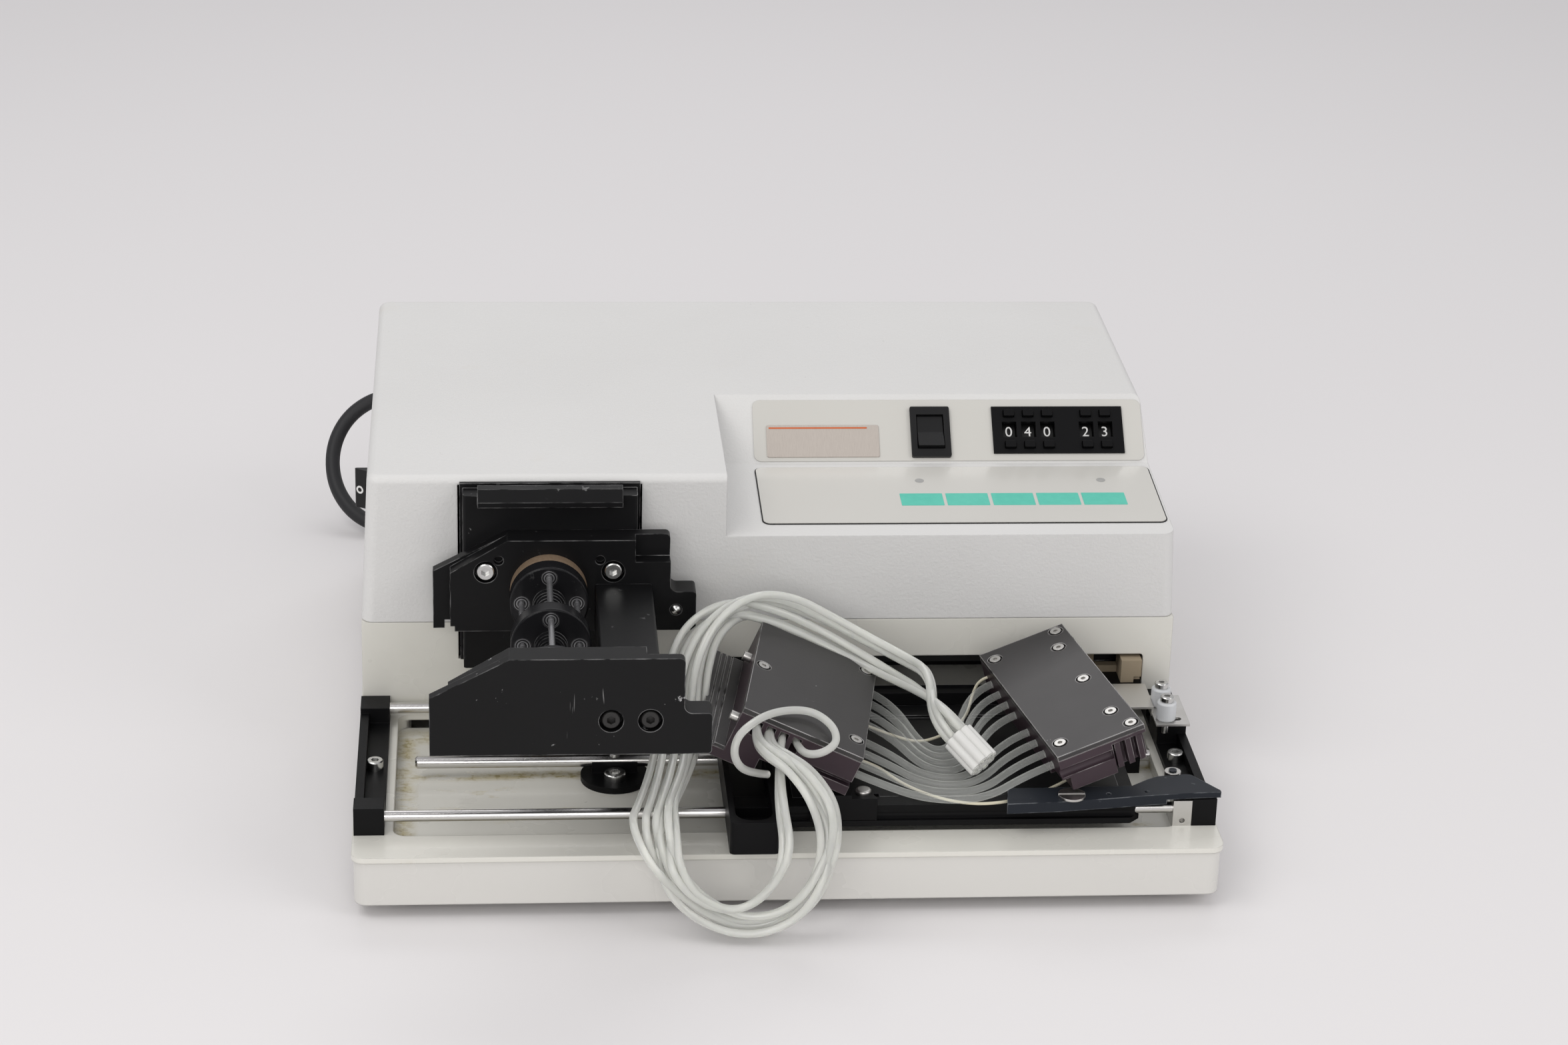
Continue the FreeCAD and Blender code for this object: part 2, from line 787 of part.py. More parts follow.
def corner_rebate(front, back):
    """Step to cut into the top right corner of a pump plate's narrower layer."""
    top = pump_z + plate_top
    return box(pump_x + plate_shoulder - rebate_width, pump_x + plate_shoulder + 1, front, back,
               top - rebate_height, top + 1)


def pump_rear_plate():
    pad_front = pump_rear_face
    pad_back = pump_rear_face + pump_pad_thickness
    back = pad_back + pump_back_thickness
    plate = softened_plate(along_y(pump_outline(0.0, pump_back_drop), pad_back, back), pump_back_drop)
    pad = softened_plate(along_y(pump_outline(pad_inset), pad_front, pad_back))
    hook_low = pump_z + plate_bottom - pump_back_drop
    hook = box(pump_x - plate_left + 4.6, pump_x - plate_left + 8.6, pad_front - 1, back + 1,
               hook_low - 1, hook_low + 2.3 + pump_back_drop)
    plate = plate.fuse(pad).cut(corner_rebate(pad_front - 1, pad_back)).cut(hook)
    bore = cylinder(pump_x, pad_front - 1, pump_z, shaft_radius + shaft_clearance, back - pad_front + 2, Y_AXIS)
    plate = plate.cut(bore)
    for x in pad_screw_x:
        plate = plate.cut(cylinder(pump_x + x, pad_front - 1, pump_z + pad_screw_z, m4_bore_radius,
                                   m4_head_height + 0.8, Y_AXIS))
        plate = plate.cut(cylinder(pump_x + x, pad_front - 1, pump_z + pad_screw_z, m4_shank_radius,
                                   back - pad_front + 2, Y_AXIS))
        aside = x - math.copysign(pin_hole_aside, x)
        plate = plate.cut(cylinder(pump_x + aside, pad_front - 1, pump_z + pad_screw_z + pin_hole_up,
                                   pin_hole_radius, pin_hole_depth + 1, Y_AXIS))
    seat = cylinder(pump_x + ball_x, pad_front - 1, pump_z + ball_z, ball_radius + 0.1, 1.7 + ball_radius, Y_AXIS)
    return only_solid(plate.cut(seat).removeSplitter())


def pump_front_plate():
    """Two layers: the full outline in front, a narrower one with a rebated corner behind it."""
    back = pump_rear_face - pump_gap
    front = back - front_plate_thickness
    layer = front + front_plate_skin
    plate = softened_plate(along_y(pump_outline(), front, layer))
    rear = softened_plate(along_y(pump_outline(pad_inset), layer, back)).cut(corner_rebate(layer, back + 1))
    plate = plate.fuse(rear)
    for x in bridge_screw_x:
        z = pump_z + bridge_top - bridge_height / 2 + 2.6
        plate = plate.cut(cylinder(pump_x + x, front - 1, z, m4_bore_radius, m4_head_height + 1.6, Y_AXIS))
        plate = plate.cut(cylinder(pump_x + x, front - 1, z, m4_shank_radius, front_plate_thickness + 2, Y_AXIS))
    plate = plate.cut(cylinder(pump_x, back - 6.0, pump_z, shaft_radius + shaft_clearance, 8, Y_AXIS))
    return only_solid(plate.removeSplitter())


def pump_bridge_block():
    back = pump_rear_face
    front = back - pump_gap
    block = box(pump_x + bridge_left, pump_x + bridge_right, front, back,
                pump_z + bridge_top - bridge_height, pump_z + bridge_top)
    block = rounded(block, 1.0, Y_AXIS, lambda p: p.z > pump_z)
    for x in bridge_screw_x:
        z = pump_z + bridge_top - bridge_height / 2 + 2.6
        block = block.cut(cylinder(pump_x + x, front - 1, z, m4_shank_radius, 15, Y_AXIS))
    return block


def pump_mount_plate():
    """Block behind the pump with a thin flange against the wall and a bevelled bar along its top."""
    front = pump_rear_face + pump_pad_thickness + pump_back_thickness
    back = front + mount_thickness
    low, high = pump_z + mount_bottom, pump_z + mount_top
    left, right = pump_x - mount_left, pump_x + mount_right
    plate = box(left + mount_margin, right - mount_margin, front, back, low, high - 2.0)
    plate = rounded(plate, 1.2, Z_AXIS, lambda p: p.y < at(front) + 0.1)
    flange_back = wall_setback - 0.5
    plate = plate.fuse(box(left, right, flange_back - mount_flange, flange_back, low, high))
    bar = along_x([(front + 3, high + 1.4), (front + 3, high - bar_height), (front - bar_proud, high - bar_height),
                   (front - bar_proud, high - bar_height + 2.2), (front, high + 0.8)],
                  pump_x - bar_left, pump_x + bar_right)
    plate = plate.fuse(bar)
    plate = plate.cut(cylinder(pump_x, front - 1, pump_z, shaft_radius + shaft_clearance, mount_thickness + 2, Y_AXIS))
    for x in pad_screw_x:
        plate = plate.cut(cylinder(pump_x + x, front - 1, pump_z + pad_screw_z, m4_shank_radius, 9, Y_AXIS))
    return only_solid(plate.removeSplitter())


def spacer_sleeves():
    """Thrust ring behind the rotor and the two nylon sleeves of the flag bracket."""
    ring = cylinder(pump_x, pump_rear_face - ring_length + running_gap, pump_z, ring_radius,
                    ring_length - running_gap, Y_AXIS)
    ring = ring.cut(cylinder(pump_x, pump_rear_face - ring_length, pump_z, hub_radius + 1.5, ring_length + 1, Y_AXIS))
    solids = [ring]
    for d in sleeve_setbacks:
        sleeve = cylinder(sleeve_x, d, flag_z, sleeve_radius, sleeve_height)
        sleeve = sleeve.makeChamfer(0.6, [e for e in sleeve.Edges if isinstance(e.Curve, Part.Circle)])
        bore = cylinder(sleeve_x, d, flag_z - 1, sleeve_screw_radius * 0.55, sleeve_height + 2)
        solids.append(sleeve.cut(bore))
    return compound(solids)


def disc_fronts():
    """Setbacks of the front faces of the rear, middle and front discs."""
    first = pump_rear_face - ring_length - disc_thickness
    return [first - disc_pitch * i for i in range(3)]


def pin_angles():
    return [math.pi / 2 + 2 * math.pi * i / pin_count for i in range(pin_count)]


def pump_rotor():
    fronts = disc_fronts()
    rear_end = pump_rear_face + pump_pad_thickness + pump_back_thickness + mount_thickness - 2.0
    front_end = pump_rear_face - pump_gap - 5.0
    body = cylinder(pump_x, front_end, pump_z, shaft_radius, rear_end - front_end, Y_AXIS)
    for front in fronts:
        disc = cylinder(pump_x, front, pump_z, disc_radius, disc_thickness, Y_AXIS)
        disc = disc.makeFillet(0.7, [e for e in disc.Edges if isinstance(e.Curve, Part.Circle)])
        collar = cylinder(pump_x, front - hub_step, pump_z, hub_radius, hub_step, Y_AXIS)
        step = cylinder(pump_x, front - 2 * hub_step, pump_z, hub_step_radius, hub_step, Y_AXIS)
        if front == fronts[-1]:
            step = cylinder(pump_x, front - hub_step, pump_z, hub_step_radius, hub_step, Y_AXIS)
        body = body.fuse(disc).fuse(collar).fuse(step)
    for angle in pin_angles():
        x = pump_x + pin_circle * math.cos(angle)
        z = pump_z + pin_circle * math.sin(angle)
        length = fronts[0] + disc_thickness - fronts[-1] - 1.2
        hole = cylinder(x, fronts[-1] - 1, z, bearing_radius + bearing_clearance, length + 1, Y_AXIS)
        body = body.cut(hole)
    return only_solid(body.removeSplitter())


def pump_roller(index):
    """One pin with the inner parts of its three bearings."""
    angle = pin_angles()[index]
    x = pump_x + pin_circle * math.cos(angle)
    z = pump_z + pin_circle * math.sin(angle)
    fronts = disc_fronts()
    back_end = fronts[0] + disc_thickness - 1.2 - running_gap
    front_end = fronts[-1] - pin_overhang
    pin = cylinder(x, front_end, z, pin_radius, back_end - front_end, Y_AXIS)
    for front in fronts:
        pin = pin.fuse(cylinder(x, front + 0.3, z, bearing_radius, disc_thickness - 2.2, Y_AXIS))
    return pin


def socket_screw(x, setback, z, head_radius, head_height, shank_radius, shank, axis):
    """Cap screw with a hex socket: the head stands on the point, against the axis that the shank follows."""
    start = V(x, at(setback), z)
    face = start - axis * head_height
    head = Part.makeCylinder(head_radius, head_height, face, axis)
    rim = [e for e in head.Edges if isinstance(e.Curve, Part.Circle) and (e.CenterOfMass - face).Length < 0.01]
    head = head.makeChamfer(0.4, rim)
    screw = head.fuse(Part.makeCylinder(shank_radius, shank, start, axis))
    return screw.cut(hex_socket(face, axis, head_radius * 0.5, head_height * 0.5))


def hex_socket(face, axis, radius, depth):
    """Six-sided pocket to cut into a screw head, from its face along the axis."""
    across = V(0, 0, 1) if abs(axis.z) < 0.5 else X_AXIS
    along = axis.cross(across)
    corners = [face + across * (radius * math.cos(math.pi * k / 3)) + along * (radius * math.sin(math.pi * k / 3))
               for k in range(6)]
    return prism(corners, axis * depth)


def frame_screws():
    screws = []
    pad_front = pump_rear_face
    for x in pad_screw_x:
        screws.append(socket_screw(pump_x + x, pad_front + m4_head_height - 0.2, pump_z + pad_screw_z,
                                   m4_head_radius, m4_head_height, m4_shank_radius - 0.05, 15, Y_AXIS))
    front = pump_rear_face - pump_gap - front_plate_thickness
    for x in bridge_screw_x:
        z = pump_z + bridge_top - bridge_height / 2 + 2.6
        screws.append(socket_screw(pump_x + x, front + m4_head_height + 0.6, z, m4_head_radius, m4_head_height,
                                   m4_shank_radius - 0.05, 15, Y_AXIS))
    ball = Part.makeSphere(ball_radius, V(pump_x + ball_x, at(pad_front + 0.6), pump_z + ball_z))
    screws.append(ball)
    down = V(0, 0, -1)
    floor = rim_z + bracket_floor
    for side in (-1, 1):
        x = side * (base_width / 2 - floor_screw_inset)
        screws.append(socket_screw(x, floor_screw_setback, floor, floor_screw_radius, floor_screw_head, 2.0,
                                   bracket_floor, down))
    screws.append(socket_screw(post_x, post_screw_setback, rim_z - tray_drop + post_base_height, 4.4, 3.0, 2.4,
                               post_base_height, down))
    seat = third_rod_z + third_rod_radius - 0.6
    screws.append(cylinder(post_x, third_rod_setback, seat, rod_screw_radius, rod_screw_head))
    for d in sleeve_setbacks:
        screws.append(socket_screw(sleeve_x, d, flag_z + sleeve_height, sleeve_screw_radius, sleeve_screw_head,
                                   sleeve_screw_radius * 0.5, sleeve_height + 6, down))
    return compound(screws)


def side_bracket(side):
    """Bracket that holds the rods at one end: two blocks, an outer rib and a floor."""
    outer = base_width / 2 - bracket_edge
    low, high = rim_z, rim_z + bracket_height

    def block(x0, x1, front, back, z0, z1):
        lo, hi = sorted((side * x0, side * x1))
        return box(lo, hi, front, back, z0, z1)

    body = block(bracket_inner_x, outer, rear_block_from, rear_block_to, low, high)
    front_inner = bracket_inner_x if side < 0 else clamp_block_to_x + 0.05
    body = body.fuse(block(front_inner, outer, front_block_from, front_block_to, low, low + front_block_height))
    body = body.fuse(block(outer - bracket_rib, outer, front_block_to - 1, rear_block_from + 1, low, high - 2.2))
    body = body.fuse(block(bracket_inner_x, outer, front_block_to - 1, rear_block_from + 1, low, low + bracket_floor))
    for d in (front_rod_setback, rear_rod_setback):
        start = side * (bracket_inner_x + rod_socket)
        body = body.cut(cylinder(start if side < 0 else bracket_inner_x - 1, d, rod_z, rod_radius + 0.03,
                                 rod_socket + 1, X_AXIS))
    x = side * (base_width / 2 - floor_screw_inset)
    body = body.cut(cylinder(x, floor_screw_setback, low - 1, 2.05, bracket_floor + 2))
    return only_solid(body.removeSplitter())


def rail_supports():
    """Left and right brackets, rod post, the guard behind the slot and the idler's stand."""
    left = side_bracket(-1)
    right = side_bracket(1)
    floor = rim_z - tray_drop
    post = cylinder(post_x, third_rod_setback - 3.0, floor, post_base_radius, post_base_height)
    post = post.fuse(box(post_x - post_block_half, post_x + post_block_half, post_block_from,
                         post_block_from + 8.0, floor, third_rod_z + 0.5))
    post = post.cut(cylinder(post_x - 20, third_rod_setback, third_rod_z, third_rod_radius + 0.03, 40, X_AXIS))
    post = post.cut(cylinder(post_x, post_screw_setback, floor - 1, 2.45, post_base_height + 2))
    stand = box(bracket_inner_x, base_width / 2 - bracket_edge, flag_post_from, flag_post_to,
                rim_z + bracket_floor, flag_z - flag_thickness)
    for d in sleeve_setbacks:
        stand = stand.cut(cylinder(sleeve_x, d, flag_z - 8, sleeve_screw_radius * 0.52, 10))
    right = right.fuse(stand)
    end_block = box(end_block_x - post_block_half, end_block_x + post_block_half, post_block_from,
                    post_block_from + 8.0, floor, third_rod_z + third_rod_radius + 0.6)
    end_block = end_block.cut(cylinder(end_block_x - 20, third_rod_setback, third_rod_z,
                                       third_rod_radius + 0.03, 40, X_AXIS))
    return compound([only_solid(left), only_solid(right), only_solid(post), end_block, slot_guard(),
                     idler_stand()])


def slot_guard():
    """Angled sheet behind the belt that carries the carriage motor and closes the view through the slot."""
    front = pulley_setback() + carriage_motor_size / 2 + rest_gap
    guard = box(slot_left - 6, slot_right + 4, front, front + 2.0, rim_z, carriage_motor_low + 20)
    foot = box(slot_left - 6, slot_right + 4, front, front + 10.0, rim_z, rim_z + 2.0)
    return only_solid(guard.fuse(foot))


def idler_stand():
    stand = box(idler_pulley_x - 14, idler_pulley_x + 14, pulley_setback() - 6, pulley_setback() + 14, rim_z,
                belt_centre_z() - belt_height / 2 - pulley_flange - 1.5)
    pin_low = rim_z + 5
    return stand.fuse(cylinder(idler_pulley_x, pulley_setback(), pin_low, pulley_shaft_radius,
                               belt_centre_z() + belt_height / 2 + 2.0 - pin_low))


def guide_rods():
    overlap = rod_socket - 0.5
    front = cylinder(-bracket_inner_x - overlap, front_rod_setback, rod_z, rod_radius,
                     bracket_inner_x + overlap + clamp_block_to_x - 0.5, X_AXIS)
    rear = cylinder(-bracket_inner_x - overlap, rear_rod_setback, rod_z, rod_radius,
                    2 * (bracket_inner_x + overlap), X_AXIS)
    third = cylinder(third_rod_left, third_rod_setback, third_rod_z, third_rod_radius,
                     third_rod_right - third_rod_left, X_AXIS)
    tip = min((e for e in third.Edges if isinstance(e.Curve, Part.Circle)), key=lambda e: e.CenterOfMass.x)
    third = third.makeChamfer(0.8, [tip])
    seat = third_rod_z + third_rod_radius - 0.65
    third = third.cut(cylinder(post_x, third_rod_setback, seat, rod_screw_radius + 0.1, 3.0))
    return compound([front, rear, third])


def rod_clamp():
    """Bare metal block that holds the front rod's right end."""
    clamp = box(clamp_block_from_x, clamp_block_to_x, clamp_block_from, clamp_block_to, rim_z,
                rod_z + clamp_block_rise)
    clamp = clamp.cut(cylinder(clamp_block_from_x - 1, front_rod_setback, rod_z, rod_radius + 0.03, 12, X_AXIS))
    middle = (clamp_block_from_x + clamp_block_to_x) / 2
    return clamp.cut(cylinder(middle, clamp_block_from - 1, rim_z + 2.2, 1.1, 4.5, Y_AXIS))


def flag_bracket():
    """Stepped metal flag under the sleeves, and the rod's clamp block."""
    edge = base_width / 2
    x0, x1, d0, d1 = edge - flag_plate[0], edge - flag_plate[1], flag_plate[2], flag_plate[3]
    plate = box(x0, x1, d0, d1, flag_z - flag_thickness, flag_z)
    t0, t1, td0, td1 = edge - flag_tongue[0], edge - flag_tongue[1], flag_tongue[2], flag_tongue[3]
    tongue = box(t0, t1, td0, td1, flag_z - flag_thickness + flag_step, flag_z + flag_step)
    riser = box(t1 - flag_thickness, t1, td0, min(td1, d1), flag_z - flag_thickness, flag_z + flag_step)
    shape = plate.fuse(tongue).fuse(riser)
    for d in sleeve_setbacks:
        slot = box(edge - flag_slot[0], edge - flag_slot[1], d - 1.55, d + 1.55, flag_z - 2, flag_z + 1)
        slot = rounded(slot, 1.5, Z_AXIS)
        shape = shape.cut(slot)
    return compound([only_solid(shape.removeSplitter()), only_solid(rod_clamp())])


def drive_motors():
    start = pump_rear_face + pump_pad_thickness + pump_back_thickness + mount_thickness
    pump = cylinder(pump_x, start, pump_z, pump_motor_radius, pump_motor_length, Y_AXIS)
    gearbox = box(pump_x - pump_motor_radius, pump_x + pump_motor_radius, start, start + 14,
                  pump_z - pump_motor_radius, pump_z + pump_motor_radius)
    pump = pump.fuse(rounded(gearbox, 4.0, Y_AXIS))
    half = carriage_motor_size / 2
    low = carriage_motor_low
    carriage = box(drive_pulley_x - half, drive_pulley_x + half, pulley_setback() - half,
                   pulley_setback() + half, low, low + carriage_motor_height)
    shaft_end = belt_centre_z() - belt_height / 2 - pulley_flange
    shaft = cylinder(drive_pulley_x, pulley_setback(), shaft_end, pulley_shaft_radius, low + 1 - shaft_end)
    return compound([only_solid(pump), only_solid(rounded(carriage, 3.0, Z_AXIS).fuse(shaft))])


def belt_centre_z():
    return arm_high + belt_rise + belt_height / 2


def pulley_setback():
    return belt_setback + pulley_radius


def pulley(x):
    z0 = belt_centre_z() - belt_height / 2 - pulley_flange
    height = belt_height + 2 * pulley_flange
    wheel = cylinder(x, pulley_setback(), z0, pulley_radius, height)
    for z in (z0, z0 + height - pulley_flange * 0.8):
        wheel = wheel.fuse(cylinder(x, pulley_setback(), z, pulley_radius + 1.4, pulley_flange * 0.8))
    return only_solid(wheel.cut(cylinder(x, pulley_setback(), z0 - 1, pulley_shaft_radius + 0.05, height + 2)))


def drive_belt():
    z0 = belt_centre_z() - belt_height / 2
    inner = pulley_radius + pulley_clearance
    outer = inner + belt_thickness

    def track(radius):
        straight = box(idler_pulley_x, drive_pulley_x, pulley_setback() - radius, pulley_setback() + radius,
                       z0, z0 + belt_height)
        ends = cylinder(idler_pulley_x, pulley_setback(), z0, radius, belt_height)
        return straight.fuse(ends).fuse(cylinder(drive_pulley_x, pulley_setback(), z0, radius, belt_height))

    return only_solid(track(outer).cut(track(inner)).removeSplitter())


def electronics():
    """Control board on its standoffs and the transformer."""
    z0 = rim_z + board_standoff
    board = box(board_left, board_right, board_from, board_to, z0, z0 + board_thickness)
    for x in (board_left + 5, board_right - 5):
        for d in (board_from + 5, board_to - 5):
            board = board.fuse(cylinder(x, d, rim_z, 3.0, board_standoff))
    for x, d, w, t, h in board_blocks:
        x, d = board_left + x, board_from + d
        board = board.fuse(box(x, x + w, d, d + t, z0 + board_thickness - 0.1, z0 + board_thickness + h))
    w, t, h = transformer_size
    core = box(transformer_x - w / 2, transformer_x + w / 2, transformer_setback - t / 2,
               transformer_setback + t / 2, rim_z, rim_z + h)
    winding = box(transformer_x - w / 4, transformer_x + w / 4, transformer_setback - t / 2 - 5,
                  transformer_setback + t / 2 + 5, rim_z + 7, rim_z + h - 7)
    return compound([only_solid(board), core.fuse(winding)])


def carrier_frame():
    platform = box(platform_left, platform_right, platform_front, platform_back, platform_z,
                   platform_z + platform_thickness)
    front = box(handle_right - 1, platform_right, front_rail_from, front_rail_to, front_rail_low, front_rail_high)
    front = front.makeChamfer(4.0, edges_along(front, Z_AXIS, lambda p: p.x > platform_right - 1
                                               and p.y < at(front_rail_from) + 1))
    front = front.cut(box(handle_right + 0.5, base_width, front_rail_from - 1, front_rail_from + front_rail_recess,
                          front_rail_lip, front_rail_high + 1))
    rear = box(platform_left, platform_right, rear_rail_from, rear_rail_to, rear_rail_low, rear_rail_high)
    wall = box(platform_left + 14, platform_right, rear_rail_from - rear_wall_thickness, rear_rail_from + 1,
               platform_z, carrier_ceiling)
    arm = box(arm_left, arm_right, rear_rail_to - 6, arm_back, arm_low, arm_high)
    body = platform.fuse(front).fuse(rear).fuse(wall).fuse(arm)
    side = box(platform_left, platform_left + handle_wall, handle_back - 1, rear_rail_from + 1, platform_z,
               rear_rail_high)
    handle = box(platform_left, handle_right, handle_front, handle_back, handle_low, handle_high)
    handle = rounded(handle, 2.0, Z_AXIS, lambda p: p.y < at(handle_front) + 1)
    pocket = box(platform_left + handle_wall, handle_right - handle_wall, handle_front + handle_wall,
                 handle_back + 1, handle_low + 2.0, handle_high + 1)
    pocket = rounded(pocket, 6.0, Z_AXIS, lambda p: p.y < at(handle_front) + 5)
    rod_tunnel = box(platform_left + handle_wall, handle_right - handle_wall, front_rail_from,
                     front_rail_to, handle_low + 1, rod_z + rod_radius + 2)
    handle = handle.cut(pocket).fuse(rod_tunnel)
    block = along_z([(corner_block_from, front_rail_from), (corner_block_to, front_rail_from),
                     (corner_block_to - 4, front_rail_from + corner_block_depth),
                     (corner_block_from + 10, front_rail_from + corner_block_depth)],
                    platform_z, carrier_ceiling - 1.6)
    peak = box(corner_block_from + 4, corner_block_from + 16, front_rail_from, front_rail_from + 5,
               front_rail_high, carrier_ceiling)
    body = body.fuse(side).fuse(handle).fuse(block).fuse(peak)
    bore_radius = rod_radius + rod_running_gap
    for d in (front_rod_setback, rear_rod_setback):
        body = body.cut(cylinder(platform_left - 1, d, rod_z, bore_radius, platform_right - platform_left + 2, X_AXIS))
    return only_solid(body.removeSplitter())


def plate_adapter():
    z0 = platform_z + platform_thickness
    plate = box(adapter_left, adapter_right, adapter_front, adapter_back, z0, z0 + adapter_thickness)
    step = box(adapter_left, adapter_right, adapter_step_setback, adapter_back, z0, z0 + adapter_thickness
               + adapter_step)
    plate = plate.fuse(step).removeSplitter()
    corner = box(corner_block_from - 2, corner_block_to + 2, adapter_front - 1,
                 front_rail_from + corner_block_depth + 1.0, z0 - 1, z0 + 5)
    return only_solid(rounded(plate.cut(corner), 3.0, Z_AXIS, lambda p: p.x > adapter_right - 1))


def belt_clamp():
    """Clamp block on the carrier's arm, with the jaw that reaches down the belt's front run."""
    block = box(clamp_left, clamp_right, clamp_front, clamp_back, arm_high, clamp_high)
    notch = box(clamp_left + 5.4, clamp_right + 1, clamp_front - 1, clamp_front + 3.0, arm_high - 1, arm_high + 2.6)
    reach = belt_setback - pulley_clearance - belt_thickness - 0.3
    jaw = box(arm_left + 2, arm_left + 20, clamp_back, reach, arm_high, arm_high + belt_rise + belt_height)
    link = box(arm_left + 2, clamp_left + 1, clamp_back - 3, clamp_back + 1, arm_high, arm_high + 3.0)
    return only_solid(block.cut(notch).fuse(jaw).fuse(link))


def clamp_lever():
    """Bent lever on its pivot, thinner where it passes over the bracket, with a pin for its roller."""
    outline = [(lever_x + x, lever_setback + d) for x, d in lever_outline]
    bar = along_z(outline, lever_low, lever_low + lever_thickness)
    step_x = base_width / 2 - lever_step_inset
    bar = bar.cut(box(step_x, base_width, lever_setback - 30, lever_setback + 60, lever_low - 1, lever_step_z))
    bar = bar.cut(cylinder(lever_x, lever_setback, lever_low - 1, lever_pin_radius + 0.05, lever_thickness + 2))
    for x, d in lever_holes:
        bar = bar.cut(cylinder(lever_x + x, lever_setback + d, lever_low - 1, 0.9, lever_thickness + 2))
    x, d = lever_bearing_x, lever_bearing_setback
    seat = bearing_bottom() - 0.1
    bar = bar.fuse(cylinder(x, d, lever_step_z, lever_bearing_radius, seat - lever_step_z))
    bar = bar.cut(cylinder(x, d, seat, lever_bearing_radius + 0.3, lever_thickness + 2))
    bar = bar.fuse(cylinder(x, d, lever_step_z, 1.0, carrier_ceiling - lever_step_z))
    bar = bar.fuse(cylinder(x, d, carrier_ceiling - 0.5, lever_button_radius, 0.5))
    return only_solid(bar.removeSplitter())


def bearing_bottom():
    """Height of the underside of the lever's roller bearing."""
    return carrier_ceiling - 0.6 - lever_bearing_height


def lever_bearing():
    ring = cylinder(lever_bearing_x, lever_bearing_setback, bearing_bottom(), lever_bearing_radius,
                    lever_bearing_height)
    return ring.cut(cylinder(lever_bearing_x, lever_bearing_setback, bearing_bottom() - 1, 1.05, 8))


def carrier_screws():
    """Slotted pivot screw of the lever and the pan head screw of the corner block."""
    top = lever_low + lever_thickness
    pivot = cylinder(lever_x, lever_setback, top + 0.1, lever_screw_radius, lever_screw_head)
    pivot = pivot.fuse(cylinder(lever_x, lever_setback, front_rail_high, lever_pin_radius, top - front_rail_high + 0.1))
    pivot = pivot.cut(box(lever_x - 6, lever_x + 6, lever_setback - 0.6, lever_setback + 0.6, top + 0.5, top + 2))
    seat = carrier_ceiling - 1.6
    pan = cylinder(pan_screw_x, pan_screw_setback, seat, pan_screw_radius, 1.5)
    pan = pan.makeFillet(0.9, [max(pan.Edges, key=lambda e: e.BoundBox.ZMin)])
    return compound([only_solid(pivot), pan])


def local_box(x0, x1, y0, y1, z0, z1):
    return Part.makeBox(x1 - x0, y1 - y0, z1 - z0, V(x0, y0, z0))


def tube_offsets():
    """Places of the eight tubes along a cassette block, in two groups of four."""
    inner = tube_middle_gap / 2
    side = [inner + tube_pitch * i for i in range(tube_count // 2)]
    return [-y for y in reversed(side)] + side


def tube_block():
    """Body under the left top plate: comb slots in front, a grooved ledge, tube bores at the right."""
    w, l, h = block_width, block_length, block_height
    body = local_box(-w / 2, w / 2, -l / 2, l / 2, -h, -top_plate)
    top = -ribbed_drop - ribbed_height - 0.05
    body = body.fuse(local_box(ledge_left, ledge_right, -l / 2, l / 2 - 2.8, ledge_low, top))
    body = body.fuse(local_box(-w / 2, ledge_right, -l / 2, l / 2 - 2.8, ledge_low, -h + 1))
    for i in range(comb_count):
        x = -w / 2 + comb_first + comb_pitch * i
        body = body.cut(local_box(x, x + comb_width, -l / 2 - 1, -l / 2 + comb_depth,
                                  -top_plate - comb_drop - comb_height, -top_plate - comb_drop))
    body = body.cut(local_box(2.0, w / 2 + 1, -l / 2 - 1, -l / 2 + 3.0, -h + 4.0, -h + 6.4))
    for y in tube_offsets():
        hole = Part.makeCylinder(tube_diameter / 2 + 0.1, 6.0, V(w / 2 - 5.0, y, -tube_level), X_AXIS)
        body = body.cut(hole)
    return placed(only_solid(body), block_centre, block_turn)


def dispense_head():
    w, l, h = head_width, head_length, head_height
    body = local_box(-w / 2, w / 2, -l / 2, l / 2, -h, -top_plate)
    body = body.cut(local_box(-w / 2 - 1, -w / 2 + 3.2, -l / 2 - 1, -l / 2 + 16, -h - 1, -h + 6.0))
    body = body.cut(local_box(4.0, w / 2 + 1, -l / 2 - 1, -l / 2 + 5.0, -h - 1, -top_plate - 1.5))
    body = body.cut(Part.makeCylinder(2.0, 23.0, V(-w / 2 - 1, -l / 2, -8.0), X_AXIS))
    for i in range(3):
        x = 5.0 + 4.6 * i
        body = body.fuse(local_box(x, x + 2.4, -l / 2 + 1.2, -l / 2 + 6.0, -h + 1.0, -top_plate - 1.5))
    for y in tube_offsets():
        hole = Part.makeCylinder(tube_diameter / 2 + 0.1, 6.0, V(-w / 2 - 1.0, y, -tube_level), X_AXIS)
        body = body.cut(hole)
        body = body.fuse(Part.makeCylinder(1.2, 2.2, V(w / 2 - 9.0, y, -h - 2.0), Z_AXIS))
    return placed(only_solid(body), head_centre, head_turn)


def ribbed_bar():
    """Grooved plate on the ledge beside the tube block."""
    edge, l = -block_width / 2, block_length
    bar = local_box(edge - ribbed_width, edge - 0.05, -l / 2, l / 2 - 2.8, -ribbed_drop - ribbed_height, -ribbed_drop)
    for i in range(rib_count):
        x = edge - ribbed_first - ribbed_pitch * i
        bar = bar.cut(local_box(x - 0.5, x, -l / 2 - 1, l / 2, -ribbed_drop - 0.7, -ribbed_drop + 1))
    return bar


